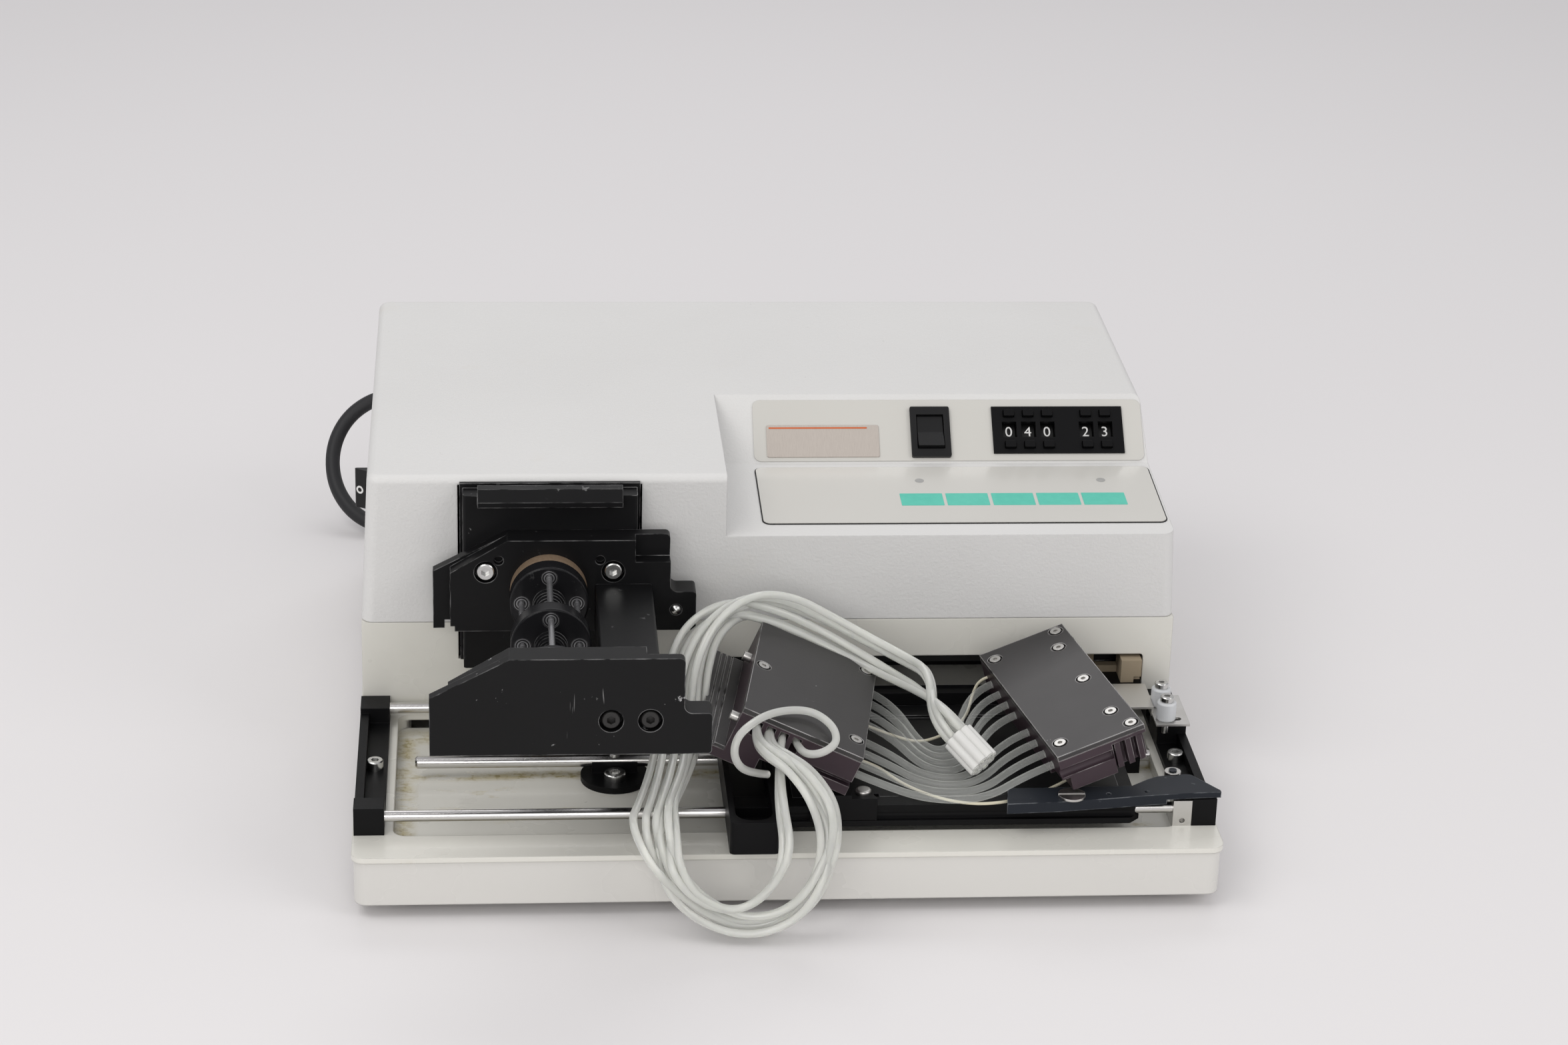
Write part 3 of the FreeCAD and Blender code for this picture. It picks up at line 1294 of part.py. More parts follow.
def cassette_plates():
    block = local_box(-block_width / 2, block_width / 2, -block_length / 2, block_length / 2, -top_plate, 0)
    head = local_box(-head_width / 2, head_width / 2, -head_length / 2, head_length / 2, -top_plate, 0)
    for x, y in block_screws:
        block = block.cut(Part.makeCylinder(top_screw_radius + 0.7, 3, V(x, y, -top_screw_sunk - 0.05)))
    for x, y in head_screws:
        head = head.cut(Part.makeCylinder(top_screw_radius + 0.7, 3, V(x, y, -top_screw_sunk - 0.05)))
    return compound([placed(only_solid(block), block_centre, block_turn),
                     placed(only_solid(head), head_centre, head_turn),
                     placed(only_solid(ribbed_bar()), block_centre, block_turn)])


def cassette_screws():
    """Sunk screws of the two top plates and the screws in the block's left flank."""
    screws = []
    for places, centre, turn in ((block_screws, block_centre, block_turn), (head_screws, head_centre, head_turn)):
        for x, y in places:
            head = Part.makeCylinder(top_screw_radius, top_screw_sunk + 0.2, V(x, y, -top_screw_sunk))
            head = head.cut(hex_socket(V(x, y, 0.2), V(0, 0, -1), 1.0, 0.9))
            screws.append(placed(head, centre, turn))
    for y in side_screw_y:
        face = V(-block_width / 2 - 3.25, y, -7.0)
        head = Part.makeCylinder(1.9, 3.2, face, X_AXIS)
        screws.append(placed(head.cut(hex_socket(face, X_AXIS, 1.0, 1.6)), block_centre, block_turn))
    return compound(screws)


def tube_collector():
    """White star that gathers the eight tube ends."""
    core = Part.makeCylinder(collector_radius - 2.2, collector_length, V(0, 0, -collector_length / 2), Z_AXIS)
    for i in range(tube_count):
        angle = 2 * math.pi * i / tube_count
        x = (collector_radius - 2.0) * math.cos(angle)
        y = (collector_radius - 2.0) * math.sin(angle)
        lobe = Part.makeCylinder(2.0, collector_length, V(x, y, -collector_length / 2), Z_AXIS)
        core = core.fuse(lobe)
    core = core.removeSplitter()
    x, setback, z = collector_centre
    core.Placement = FreeCAD.Placement(V(x, at(setback), z), collector_rotation())
    return only_solid(core)


def collector_rotation():
    """Turn that points the collector's +Z axis down and to the right."""
    return FreeCAD.Rotation(Z_AXIS, collector_axis())


def collector_axis():
    return V(0.62, -0.60, -0.50).normalize()


def tube_run(name, points, diameter):
    """Solid of a free tube: straight runs joined by tangent arcs as large as the runs allow."""
    spots = [V(*p) for p in points]
    edges = []
    radii = []
    start = spots[0]
    for i in range(1, len(spots) - 1):
        before = spots[i] - spots[i - 1]
        after = spots[i + 1] - spots[i]
        turn = before.getAngle(after)
        radius = 0.45 * min(before.Length, after.Length) / math.tan(turn / 2)
        cut = radius * math.tan(turn / 2)
        arc_start = spots[i] - before.normalize() * cut
        arc_end = spots[i] + after.normalize() * cut
        bisector = (after - before).normalize()
        middle = spots[i] + bisector * (radius / math.cos(turn / 2) - radius)
        edges.append(Part.LineSegment(start, arc_start).toShape())
        edges.append(Part.Arc(arc_start, middle, arc_end).toShape())
        radii.append(radius)
        start = arc_end
    edges.append(Part.LineSegment(start, spots[-1]).toShape())
    path = Part.Wire(edges)
    profile = Part.Wire(Part.Circle(spots[0], spots[1] - spots[0], diameter / 2).toShape())
    solid = path.makePipeShell([profile], True, False)
    section = math.pi * diameter ** 2 / 4
    print(name, "length", round(path.Length, 1), "smallest radius", round(min(radii), 1),
          "volume ratio", round(solid.Volume / (section * path.Length), 4), "valid", solid.isValid())
    return solid


def shifted(points):
    """Route points from (x, setback, z) to (x, y, z)."""
    return [(x, at(d), z) for x, d, z in points]


def block_point(x, y, z):
    point = FreeCAD.Placement(V(block_centre[0], at(block_centre[1]), block_centre[2]),
                              FreeCAD.Rotation(*block_turn)).multVec(V(x, y, z))
    return (point.x, point.y - at(0), point.z)


def head_point(x, y, z):
    point = FreeCAD.Placement(V(head_centre[0], at(head_centre[1]), head_centre[2]),
                              FreeCAD.Rotation(*head_turn)).multVec(V(x, y, z))
    return (point.x, point.y - at(0), point.z)


def dispense_route(index):
    """Route of one dispensing tube: out of the block, down to the adapter, up into the head."""
    y = tube_offsets()[index]
    share = index / (tube_count - 1)
    low = tube_low_front + (tube_low_back - tube_low_front) * share
    start = block_point(block_width / 2, y, -tube_level)
    lead = block_point(block_width / 2 + tube_lead, y, -tube_level)
    end = head_point(-head_width / 2, y, -tube_level)
    tail = head_point(-head_width / 2 - tube_lead, y, -tube_level)
    span = tail[0] - lead[0]
    low_left = (lead[0] + span * 0.3, low, tube_rest_z)
    low_right = (lead[0] + span * 0.68, low - 1.5, tube_rest_z + 0.6)
    return [start, lead, low_left, low_right, tail, end]


def dispense_tubes():
    return compound([tube_run("dispense tube %d" % i, shifted(dispense_route(i)), tube_diameter)
                     for i in range(tube_count)])


def slot_point(index, out):
    """Point on the axis of a comb slot, a distance out of the tube block's front face."""
    x = -block_width / 2 + comb_first + comb_pitch * index + comb_width / 2
    return block_point(x, -block_length / 2 - out, -top_plate - comb_drop - comb_height / 2)


def collector_point(side, out):
    """Point a distance out of the collector's upper end, to one side of its axis."""
    axis = collector_axis()
    across = axis.cross(Z_AXIS).normalize()
    end = V(*collector_centre) - axis * (collector_length / 2 + out) + across * side
    return (end.x, end.y, end.z)


def supply_routes():
    """Routes of the supply tubes: out of the comb, down in front of the base, under the pump and back."""
    long_inner = [
        (-4.5, 0.5, 67.5), (4.0, -8.0, 63.5), (11.5, -15.0, 52.0), (14.0, -17.5, 35.5),
        (10.5, -17.0, 18.5), (-1.0, -17.5, 6.0), (-17.5, -17.0, 2.4), (-33.0, -17.5, 9.0), (-45.5, -17.0, 20.5),
        (-54.5, -17.2, 34.5), (-57.5, -13.0, 48.0), (-54.0, -1.0, 51.0), (-50.0, 17.0, 55.0), (-47.2, 36.0, 60.0),
        (-46.4, 55.0, 66.5), (-44.5, 73.0, 75.0), (-36.0, 87.0, 85.0), (-20.0, 95.5, 90.0), (-1.0, 100.0, 84.0),
        (17.5, 100.5, 74.5), (34.5, 94.0, 66.5), (47.0, 79.0, 64.0), (54.5, 61.5, 66.0)]
    long_outer = [
        (-11.5, -0.5, 69.5), (-3.5, -9.0, 67.0), (5.0, -16.5, 57.5), (9.5, -20.5, 43.0),
        (7.0, -21.0, 26.0), (-3.0, -21.0, 12.5), (-18.0, -21.2, 8.0), (-33.0, -21.0, 13.0), (-45.0, -21.2, 24.5),
        (-51.0, -19.0, 38.0), (-52.0, -11.5, 50.0), (-50.0, 2.0, 51.2), (-45.5, 18.0, 55.0), (-42.6, 36.0, 61.0),
        (-41.5, 54.0, 68.0), (-38.0, 70.5, 77.0), (-29.0, 82.5, 87.0), (-13.5, 96.0, 91.5), (4.0, 104.5, 86.0),
        (21.5, 104.5, 76.0), (38.0, 96.5, 69.5), (50.5, 81.0, 68.5), (58.0, 63.5, 71.0)]
    short = [
        (-6.0, 0.5, 60.0), (-7.0, -12.5, 53.5), (-5.0, -22.5, 40.0),
        (-9.0, -25.0, 24.5), (-22.0, -25.2, 15.0), (-36.5, -25.0, 20.5), (-44.5, -24.0, 33.5), (-45.5, -15.5, 46.0),
        (-46.0, -2.0, 50.4), (-41.5, 15.0, 52.5), (-37.0, 33.0, 57.0), (-34.5, 51.0, 63.5), (-33.0, 68.0, 72.0),
        (-28.0, 83.0, 80.0), (-18.0, 96.0, 82.5), (-6.0, 106.5, 78.0)]
    back = [block_point(rear_port_x, block_length / 2 + out, -tube_level) for out in (9.0, 0.3)]
    return [
        [slot_point(1, -4.0), slot_point(1, 8.0)] + long_inner + [collector_point(-2.4, 11.0), collector_point(-2.4, 0.2)],
        [slot_point(0, -4.0), slot_point(0, 8.0)] + long_outer + [collector_point(2.4, 11.0), collector_point(2.4, 0.2)],
        [slot_point(2, -4.0), slot_point(2, 8.0)] + short + back]


def supply_tubes():
    return compound([tube_run("supply tube %d" % i, shifted(route), tube_diameter)
                     for i, route in enumerate(supply_routes())])


mains_route = [
    (-140.0, 365.2, 56.0), (-140.4, 382.0, 56.4), (-145.0, 397.0, 57.5), (-155.5, 409.5, 57.8),
    (-169.5, 415.5, 53.8), (-182.5, 413.5, 44.8), (-189.5, 404.5, 32.5), (-188.5, 391.5, 19.5),
    (-180.0, 380.0, 9.5), (-167.0, 374.5, 4.0), (-151.5, 376.5, 3.7), (-138.5, 386.0, 3.7),
    (-130.0, 399.5, 3.7), (-125.6, 414.5, 3.7), (-124.0, 429.5, 3.7)]


def mains_cord():
    """Visible stretch of the lead, from the gland down to the floor and to its coil."""
    cord = tube_run("mains cord", shifted(mains_route), cord_diameter)
    return only_solid(cord.cut(cylinder(coil_x, coil_setback, -1, coil_outer_radius(), 20)))


def coil_outer_radius():
    return coil_turn_diameter / 2 + coil_turns_across * cord_diameter / 2


def mains_coil():
    """Neat coil of the stored length."""
    outer = coil_outer_radius()
    inner = outer - coil_turns_across * cord_diameter
    height = coil_turns_high * cord_diameter
    ring = cylinder(coil_x, coil_setback, 0.2, outer, height)
    ring = ring.cut(cylinder(coil_x, coil_setback, -1, inner, height + 3))
    return ring.makeFillet(2.5, [e for e in ring.Edges if isinstance(e.Curve, Part.Circle)])


def mains_plug():
    """Three-pin plug on the lead's end, which leaves the coil towards the rear panel."""
    x = coil_x + coil_outer_radius() - cord_diameter / 2
    z = 0.2 + plug_thickness / 2
    tail_start = coil_setback
    back = coil_setback - plug_tail
    front = back - plug_length
    body = box(x - plug_width / 2, x + plug_width / 2, front, back, 0.2, 0.2 + plug_thickness)
    body = rounded(body, 5.0, Y_AXIS)
    tail = Part.makeCone(cord_diameter / 2 + 1.2, cord_diameter / 2, 12, V(x, at(back - 1), cord_diameter / 2 + 1.4),
                         Y_AXIS)
    lead = cylinder(x, back, cord_diameter / 2 + 0.2, cord_diameter / 2, tail_start - back, Y_AXIS)
    body = body.fuse(tail).fuse(lead)
    for side in (-1, 1):
        body = body.fuse(box(x + side * 6.35 - 0.75, x + side * 6.35 + 0.75, front - 17, front + 1, z, z + 6.3))
    body = body.fuse(cylinder(x, front - 20, z - 4.4, 2.4, 21, Y_AXIS))
    return only_solid(body.cut(cylinder(coil_x, coil_setback, -1, coil_outer_radius(), 20)))


def build():
    """Every named piece of the dispenser."""
    pieces = {
        "base_pan": base_pan, "tray_moulding": tray_moulding, "rear_cover": rear_cover,
        "front_labels": front_labels, "rubber_feet": rubber_feet, "switch_bezels": switch_bezels,
        "digit_switch_housing": digit_switch_housing, "mains_gland": mains_gland,
        "pump_mount_plate": pump_mount_plate, "pump_rear_plate": pump_rear_plate,
        "pump_bridge_block": pump_bridge_block, "pump_front_plate": pump_front_plate,
        "spacer_sleeves": spacer_sleeves, "frame_screws": frame_screws, "rail_supports": rail_supports,
        "guide_rods": guide_rods, "flag_bracket": flag_bracket, "drive_motors": drive_motors,
        "electronics": electronics, "drive_belt": drive_belt, "carrier_frame": carrier_frame,
        "plate_adapter": plate_adapter, "belt_clamp": belt_clamp, "carrier_screws": carrier_screws,
        "clamp_lever": clamp_lever, "lever_bearing": lever_bearing, "pump_rotor": pump_rotor,
        "plate_switch_rocker": plate_switch_rocker, "power_switch_rocker": power_switch_rocker,
        "tube_block": tube_block, "dispense_head": dispense_head, "cassette_plates": cassette_plates,
        "cassette_screws": cassette_screws, "tube_collector": tube_collector,
        "dispense_tubes": dispense_tubes, "supply_tubes": supply_tubes,
        "mains_cord": mains_cord, "mains_coil": mains_coil, "mains_plug": mains_plug,
    }
    shapes = {name: make() for name, make in pieces.items()}
    shapes["drive_pulley"] = pulley(drive_pulley_x)
    shapes["idler_pulley"] = pulley(idler_pulley_x)
    for i in range(pin_count):
        shapes["pump_roller_%d" % (i + 1)] = pump_roller(i)
    for i, x in enumerate(digit_places()):
        shapes["digit_wheel_%d" % (i + 1)] = digit_wheel(x)
        shapes["plus_button_%d" % (i + 1)] = digit_button(x, 1)
        shapes["minus_button_%d" % (i + 1)] = digit_button(x, -1)
    return shapes


os.makedirs("parts", exist_ok=True)
for name, shape in build().items():
    print(name, "solids", len(shape.Solids), "valid", shape.isValid(), "volume", round(shape.Volume, 1))
    shape.exportStep("parts/%s.step" % name)
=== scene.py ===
"""Looks of the microplate dispenser: materials, tubes, digits, keys and the studio."""
import math

import bmesh
import bpy
from mathutils import Matrix, Vector


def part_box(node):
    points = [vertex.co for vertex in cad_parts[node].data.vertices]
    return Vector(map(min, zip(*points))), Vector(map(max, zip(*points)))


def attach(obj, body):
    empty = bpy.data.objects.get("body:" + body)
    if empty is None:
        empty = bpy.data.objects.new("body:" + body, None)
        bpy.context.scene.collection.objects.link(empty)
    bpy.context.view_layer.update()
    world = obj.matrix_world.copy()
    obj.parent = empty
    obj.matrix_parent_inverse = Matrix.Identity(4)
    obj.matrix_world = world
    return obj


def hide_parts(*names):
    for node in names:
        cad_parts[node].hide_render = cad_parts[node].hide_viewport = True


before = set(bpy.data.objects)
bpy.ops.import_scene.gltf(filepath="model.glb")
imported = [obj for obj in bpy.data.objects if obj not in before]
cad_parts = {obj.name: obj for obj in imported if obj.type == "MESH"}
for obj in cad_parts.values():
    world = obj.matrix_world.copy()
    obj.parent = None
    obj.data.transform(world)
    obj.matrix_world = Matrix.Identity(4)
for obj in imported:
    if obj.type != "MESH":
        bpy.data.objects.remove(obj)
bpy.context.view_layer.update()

MM = 0.001
MIDDLE = 178.0


def spot(x, setback, z):
    """Metres in the model's frame from millimetres, with the depth behind the base's front edge."""
    return Vector((x * MM, (setback - MIDDLE) * MM, z * MM))


# Shader maths


class Value:
    """A shader socket that takes part in Python sums."""

    def __init__(self, finish, socket):
        self.finish = finish
        self.socket = socket

    def maths(self, operation, *others):
        return self.finish.node("ShaderNodeMath", {"operation": operation}, self, *others)

    def __add__(self, other):
        return self.maths("ADD", other)

    __radd__ = __add__

    def __mul__(self, other):
        return self.maths("MULTIPLY", other)

    __rmul__ = __mul__

    def __sub__(self, other):
        return self.maths("SUBTRACT", other)

    def __rsub__(self, other):
        return self.finish.node("ShaderNodeMath", {"operation": "SUBTRACT"}, other, self)

    def __pow__(self, other):
        return self.maths("POWER", other)

    def between(self, low, high):
        """0 below low, 1 above high, straight in between."""
        return self.finish.node("ShaderNodeMapRange", {"clamp": True}, Value=self,
                                **{"From Min": low, "From Max": high})

    def larger(self, other):
        return self.maths("MAXIMUM", other)

    def size(self):
        return self.maths("ABSOLUTE")


class Finish:
    """One material, built node by node."""

    def __init__(self, name):
        self.material = bpy.data.materials.new(name)
        self.material.use_nodes = True
        self.tree = self.material.node_tree
        self.tree.nodes.clear()
        self.place = self.node("ShaderNodeTexCoord", {}, out="Object")

    def node(self, kind, settings, *values, out=0, **named):
        """A node with its settings first, then its inputs by order or by name; gives the output asked for."""
        made = self.tree.nodes.new(kind)
        for key, value in settings.items():
            if key == "stops":
                ramp = made.color_ramp
                while len(ramp.elements) < len(value):
                    ramp.elements.new(0.5)
                for element, (position, colour) in zip(ramp.elements, value):
                    element.position = position
                    element.color = colour
            else:
                setattr(made, key, value)
        links = list(enumerate(values)) + list(named.items())
        for key, value in links:
            socket = made.inputs[key]
            if isinstance(value, Value):
                self.tree.links.new(value.socket, socket)
            else:
                socket.default_value = value
        return Value(self, made.outputs[out])

    def noise(self, scale, detail=3.0, stretch=(1, 1, 1), roughness=0.55):
        spread = self.node("ShaderNodeMapping", {}, Vector=self.place, Scale=stretch)
        return self.node("ShaderNodeTexNoise", {}, Vector=spread, Scale=scale, Detail=detail, Roughness=roughness)

    def axis(self, letter):
        return self.node("ShaderNodeSeparateXYZ", {}, self.place, out="XYZ".index(letter))

    def blend(self, factor, first, second):
        """Colour that goes from the first to the second as the factor goes from 0 to 1."""
        made = self.tree.nodes.new("ShaderNodeMix")
        made.data_type = "RGBA"
        for key, value in (("Factor_Float", factor), ("A_Color", first), ("B_Color", second)):
            socket = next(s for s in made.inputs if s.identifier == key)
            if isinstance(value, Value):
                self.tree.links.new(value.socket, socket)
            else:
                socket.default_value = value
        return Value(self, next(s for s in made.outputs if s.identifier == "Result_Color"))

    def soft_edge(self, radius):
        """Normal that rolls over sharp edges."""
        return self.node("ShaderNodeBevel", {"samples": 4}, Radius=radius)

    def edges(self, radius):
        """Mask of worn edges: where the rolled normal leaves the flat one."""
        rolled = self.soft_edge(radius)
        flat = self.node("ShaderNodeNewGeometry", {}, out="True Normal")
        straight = self.node("ShaderNodeVectorMath", {"operation": "DOT_PRODUCT"}, rolled, flat, out="Value")
        return (1.0 - straight).between(0.02, 0.18)

    def bump(self, height, depth, strength=1.0, normal=None):
        named = {"Height": height, "Distance": depth, "Strength": strength}
        if normal is not None:
            named["Normal"] = normal
        return self.node("ShaderNodeBump", {}, **named)

    def surface(self, **sockets):
        return self.node("ShaderNodeBsdfPrincipled", {}, **sockets)

    def done(self, shader):
        """Material with the shader as its surface."""
        made = self.tree.nodes.new("ShaderNodeOutputMaterial")
        self.tree.links.new(shader.socket, made.inputs["Surface"])
        return self.material


def shaded(colour, times):
    """The colour made darker or lighter."""
    return tuple(min(1, c * times) for c in colour[:3]) + (1,)


def textured_paint():
    """Pale grey paint with a fine orange peel, faint warm stains."""
    f = Finish("textured grey paint")
    peel = f.noise(900.0, 2.0)
    drift = f.noise(9.0, 3.0)
    stain = f.noise(22.0, 4.0).between(0.66, 0.86)
    colour = f.blend(drift, (0.625, 0.622, 0.612, 1), (0.685, 0.683, 0.675, 1))
    colour = f.blend(stain * 0.25, colour, (0.60, 0.54, 0.43, 1))
    speck = f.noise(160.0, 2.0).between(0.77, 0.79)
    colour = f.blend(speck * 0.35, colour, (0.25, 0.24, 0.22, 1))
    normal = f.bump(peel, 0.00025, 0.55, f.soft_edge(0.0006))
    return f.done(f.surface(**{"Base Color": colour, "Roughness": 0.52 + 0.1 * drift, "Normal": normal,
                               "IOR": 1.45}))


def near(axis, place, full, gone):
    """1 within a distance of a place along an axis, 0 beyond a larger one."""
    return 1.0 - (axis - place).size().between(full, gone)


BASIN_FLOOR_Z = 0.0212
BASIN_BACK_Y = -0.054
SPILL_FRONT_Y = -0.1558
SPILL_BACK_Y = -0.060
SPILL_SIDE_X = -0.1485
DRIED_LINE_Y = -0.0985


def enamel(name, base, shade, basin):
    """Glossy warm white, yellowed in places; the basin's floor carries dried spills."""
    f = Finish(name)
    drift = f.noise(7.0, 4.0)
    colour = f.blend(drift, base, shade)
    roughness = 0.22 + 0.12 * f.noise(30.0, 3.0)
    if basin:
        depth = f.axis("Y")
        low = 1.0 - f.axis("Z").between(BASIN_FLOOR_Z, BASIN_FLOOR_Z + 0.005)
        wet = low * (1.0 - depth.between(BASIN_BACK_Y - 0.009, BASIN_BACK_Y))
        patch = f.noise(42.0, 6.0, (1, 2.2, 1), 0.7)
        rim = near(depth, SPILL_FRONT_Y, 0.0, 0.007).larger(near(depth, SPILL_BACK_Y, 0.0, 0.011))
        rim = rim.larger(near(f.axis("X"), SPILL_SIDE_X, 0.0, 0.006)).larger(near(depth, DRIED_LINE_Y, 0.001, 0.005))
        spill = (rim * patch.between(0.40, 0.56) + patch.between(0.60, 0.74) * 0.6) * wet
        colour = f.blend(spill * 0.8, colour, (0.50, 0.43, 0.22, 1))
        crust = f.noise(420.0, 4.0).between(0.50, 0.58) * spill
        colour = f.blend(crust * 0.7, colour, (0.30, 0.23, 0.08, 1))
        roughness = roughness + spill * 0.35
    else:
        scuff = f.noise(60.0, 5.0, (1, 1, 3)).between(0.70, 0.80)
        colour = f.blend(scuff * 0.25, colour, (0.50, 0.47, 0.40, 1))
    normal = f.bump(f.noise(26.0, 2.0), 0.0004, 0.18, f.soft_edge(0.0008))
    return f.done(f.surface(**{"Base Color": colour, "Roughness": roughness, "Normal": normal,
                               "Coat Weight": 0.3, "Coat Roughness": 0.08}))


def anodised(name, base, worn, roughness, scratch, metal=0.0):
    """Black or dark anodised metal: fine brushing, pale nicks and rubbed edges."""
    f = Finish(name)
    brush = f.noise(260.0, 3.0, (1, 1, 14))
    drift = f.noise(24.0, 4.0)
    nicks = f.noise(150.0, 4.0, (1, 1, 0.8), 0.7).between(0.655, 0.69) * f.noise(38.0, 2.0).between(0.50, 0.60)
    hair = f.noise(34.0, 2.0, (9, 9, 0.8), 0.4).between(0.735, 0.75)
    rubbed = f.edges(0.0006) * f.noise(130.0, 4.0).between(0.40, 0.62)
    marks = (nicks * 0.75).larger(hair * 0.35) * scratch
    colour = f.blend(drift, shaded(base, 0.85), shaded(base, 1.2))
    colour = f.blend(marks.larger(rubbed * 0.75), colour, worn)
    normal = f.bump(brush, 0.00006, 0.35, f.soft_edge(0.0004))
    rough = roughness + 0.14 * drift - 0.05 * brush
    return f.done(f.surface(**{"Base Color": colour, "Roughness": rough, "Metallic": metal, "Normal": normal,
                               "Specular IOR Level": 0.16}))


def top_plate_metal():
    """Dark grey anodised plate with silver edges and small knocks."""
    f = Finish("dark grey anodised plate")
    brush = f.noise(180.0, 3.0, (1, 16, 1))
    drift = f.noise(16.0, 3.0)
    knocks = f.noise(210.0, 3.0).between(0.72, 0.76)
    rim = f.edges(0.0007) * f.noise(110.0, 4.0).between(0.32, 0.50)
    colour = f.blend(drift, (0.055, 0.053, 0.054, 1), (0.090, 0.087, 0.087, 1))
    colour = f.blend((knocks * 0.7).larger(rim), colour, (0.66, 0.65, 0.64, 1))
    normal = f.bump(brush, 0.00004, 0.4, f.soft_edge(0.0004))
    return f.done(f.surface(**{"Base Color": colour, "Roughness": 0.34 + 0.1 * brush, "Metallic": 0.85,
                               "Normal": normal}))


def purple_black():
    """Aged black anodising that has turned purple brown, rubbed pale on its corners."""
    f = Finish("purple black anodising")
    drift = f.noise(28.0, 4.0)
    rim = f.edges(0.0006) * f.noise(120.0, 4.0).between(0.38, 0.58)
    colour = f.blend(drift, (0.020, 0.012, 0.017, 1), (0.055, 0.033, 0.043, 1))
    colour = f.blend(rim * 0.8, colour, (0.55, 0.53, 0.52, 1))
    normal = f.bump(f.noise(300.0, 2.0), 0.00004, 0.3, f.soft_edge(0.0004))
    return f.done(f.surface(**{"Base Color": colour, "Roughness": 0.36 + 0.12 * drift, "Metallic": 0.25,
                               "Normal": normal}))


def moulded(name, base, roughness, grain=500.0, depth=0.00005, edge=0.0004, dust=0.10, gloss=0.3):
    """Moulded plastic or rubber with a fine grain."""
    f = Finish(name)
    drift = f.noise(40.0, 4.0)
    colour = f.blend(drift, shaded(base, 0.86), shaded(base, 1.14))
    settled = f.noise(75.0, 5.0).between(0.66, 0.84)
    colour = f.blend(settled * dust, colour, (0.5, 0.48, 0.44, 1))
    normal = f.bump(f.noise(grain, 2.0), depth, 0.5, f.soft_edge(edge))
    return f.done(f.surface(**{"Base Color": colour, "Roughness": roughness + 0.12 * drift, "Normal": normal,
                               "Specular IOR Level": gloss}))


def metal(name, base, roughness, stretch=(1, 1, 1), grime=0.25, edge=0.0003):
    """Bright metal with brushing and a little grime."""
    f = Finish(name)
    brush = f.noise(420.0, 3.0, stretch)
    dirt = f.noise(60.0, 5.0).between(0.58, 0.78)
    colour = f.blend(dirt * grime, base, (0.16, 0.12, 0.08, 1))
    normal = f.bump(brush, 0.00003, 0.4, f.soft_edge(edge))
    return f.done(f.surface(**{"Base Color": colour, "Roughness": roughness + 0.12 * brush + 0.25 * dirt * grime,
                               "Metallic": 1.0 - 0.6 * dirt * grime, "Normal": normal}))


def bearing_steel(node):
    """Dark bearings with thin bright rings round a grey pin, on the pin's own axis."""
    f = Finish("bearing steel " + node[-1])
    low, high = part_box(node)
    aside = f.axis("X") - (low.x + high.x) / 2
    over = f.axis("Z") - (low.z + high.z) / 2
    away = (aside * aside + over * over) ** 0.5
    pin = away.between(0.00126, 0.00122)
    bright = pin.larger((away - 0.0019).size().between(0.0003, 0.0002) * 0.7)
    bright = bright.larger((away - 0.0029).size().between(0.0002, 0.0001) * 0.8)
    colour = f.blend(bright, (0.012, 0.012, 0.013, 1), (0.34, 0.34, 0.35, 1))
    return f.done(f.surface(**{"Base Color": colour, "Metallic": bright * 0.8, "Roughness": 0.32 - 0.08 * pin,
                               "Normal": f.soft_edge(0.0003), "Specular IOR Level": 0.2}))


FRONT_PLATE_Y = -0.158


def screw_metal():
    """Zinc screws, but the two in the pump's front plate are blackened."""
    f = Finish("screw metal")
    blackened = f.axis("Y").between(FRONT_PLATE_Y, FRONT_PLATE_Y - 0.004) * f.axis("Z").between(0.048, 0.052)
    dirt = f.noise(60.0, 5.0).between(0.58, 0.78)
    colour = f.blend(dirt * 0.25, (0.60, 0.60, 0.59, 1), (0.16, 0.12, 0.08, 1))
    colour = f.blend(blackened, colour, (0.030, 0.029, 0.028, 1))
    return f.done(f.surface(**{"Base Color": colour, "Roughness": 0.24 + 0.10 * blackened + 0.1 * dirt,
                               "Metallic": 1.0 - 0.5 * blackened, "Normal": f.soft_edge(0.0003)}))


def clear_tube():
    """See-through tube wall: almost clear through its middle, whitish towards its sides."""
    f = Finish("clear silicone tube")
    facing = f.node("ShaderNodeLayerWeight", {}, Blend=0.42, out="Facing")
    side = facing.between(0.22, 0.90) ** 1.6
    cloud = f.noise(110.0, 3.0)
    colour = f.blend(cloud, (0.66, 0.68, 0.64, 1), (0.80, 0.82, 0.79, 1))
    return f.done(f.surface(**{"Base Color": colour, "Roughness": 0.14, "Alpha": 0.15 + 0.50 * side,
                               "Specular IOR Level": 0.6, "Coat Weight": 0.5, "Coat Roughness": 0.05}))


def silicone(name, cloudy, milk_colour):
    """Milky tube: clearer through its middle, whiter towards its sides."""
    f = Finish(name)
    facing = f.node("ShaderNodeLayerWeight", {}, Blend=0.42, out="Facing")
    cloud = f.noise(120.0, 3.0)
    clear = f.surface(**{"Base Color": (0.94, 0.95, 0.91, 1), "Roughness": 0.12, "Transmission Weight": 1.0,
                         "IOR": 1.36})
    colour = f.blend(cloud, shaded(milk_colour, 0.94), milk_colour)
    milk = f.surface(**{"Base Color": colour, "Roughness": 0.20, "Subsurface Weight": 0.5,
                        "Subsurface Radius": (0.003, 0.003, 0.0028), "Coat Weight": 0.8, "Coat Roughness": 0.06})
    factor = cloudy + (0.90 - cloudy) * facing.between(0.35, 0.95) ** 1.5
    return f.done(f.node("ShaderNodeMixShader", {}, factor, clear, milk))


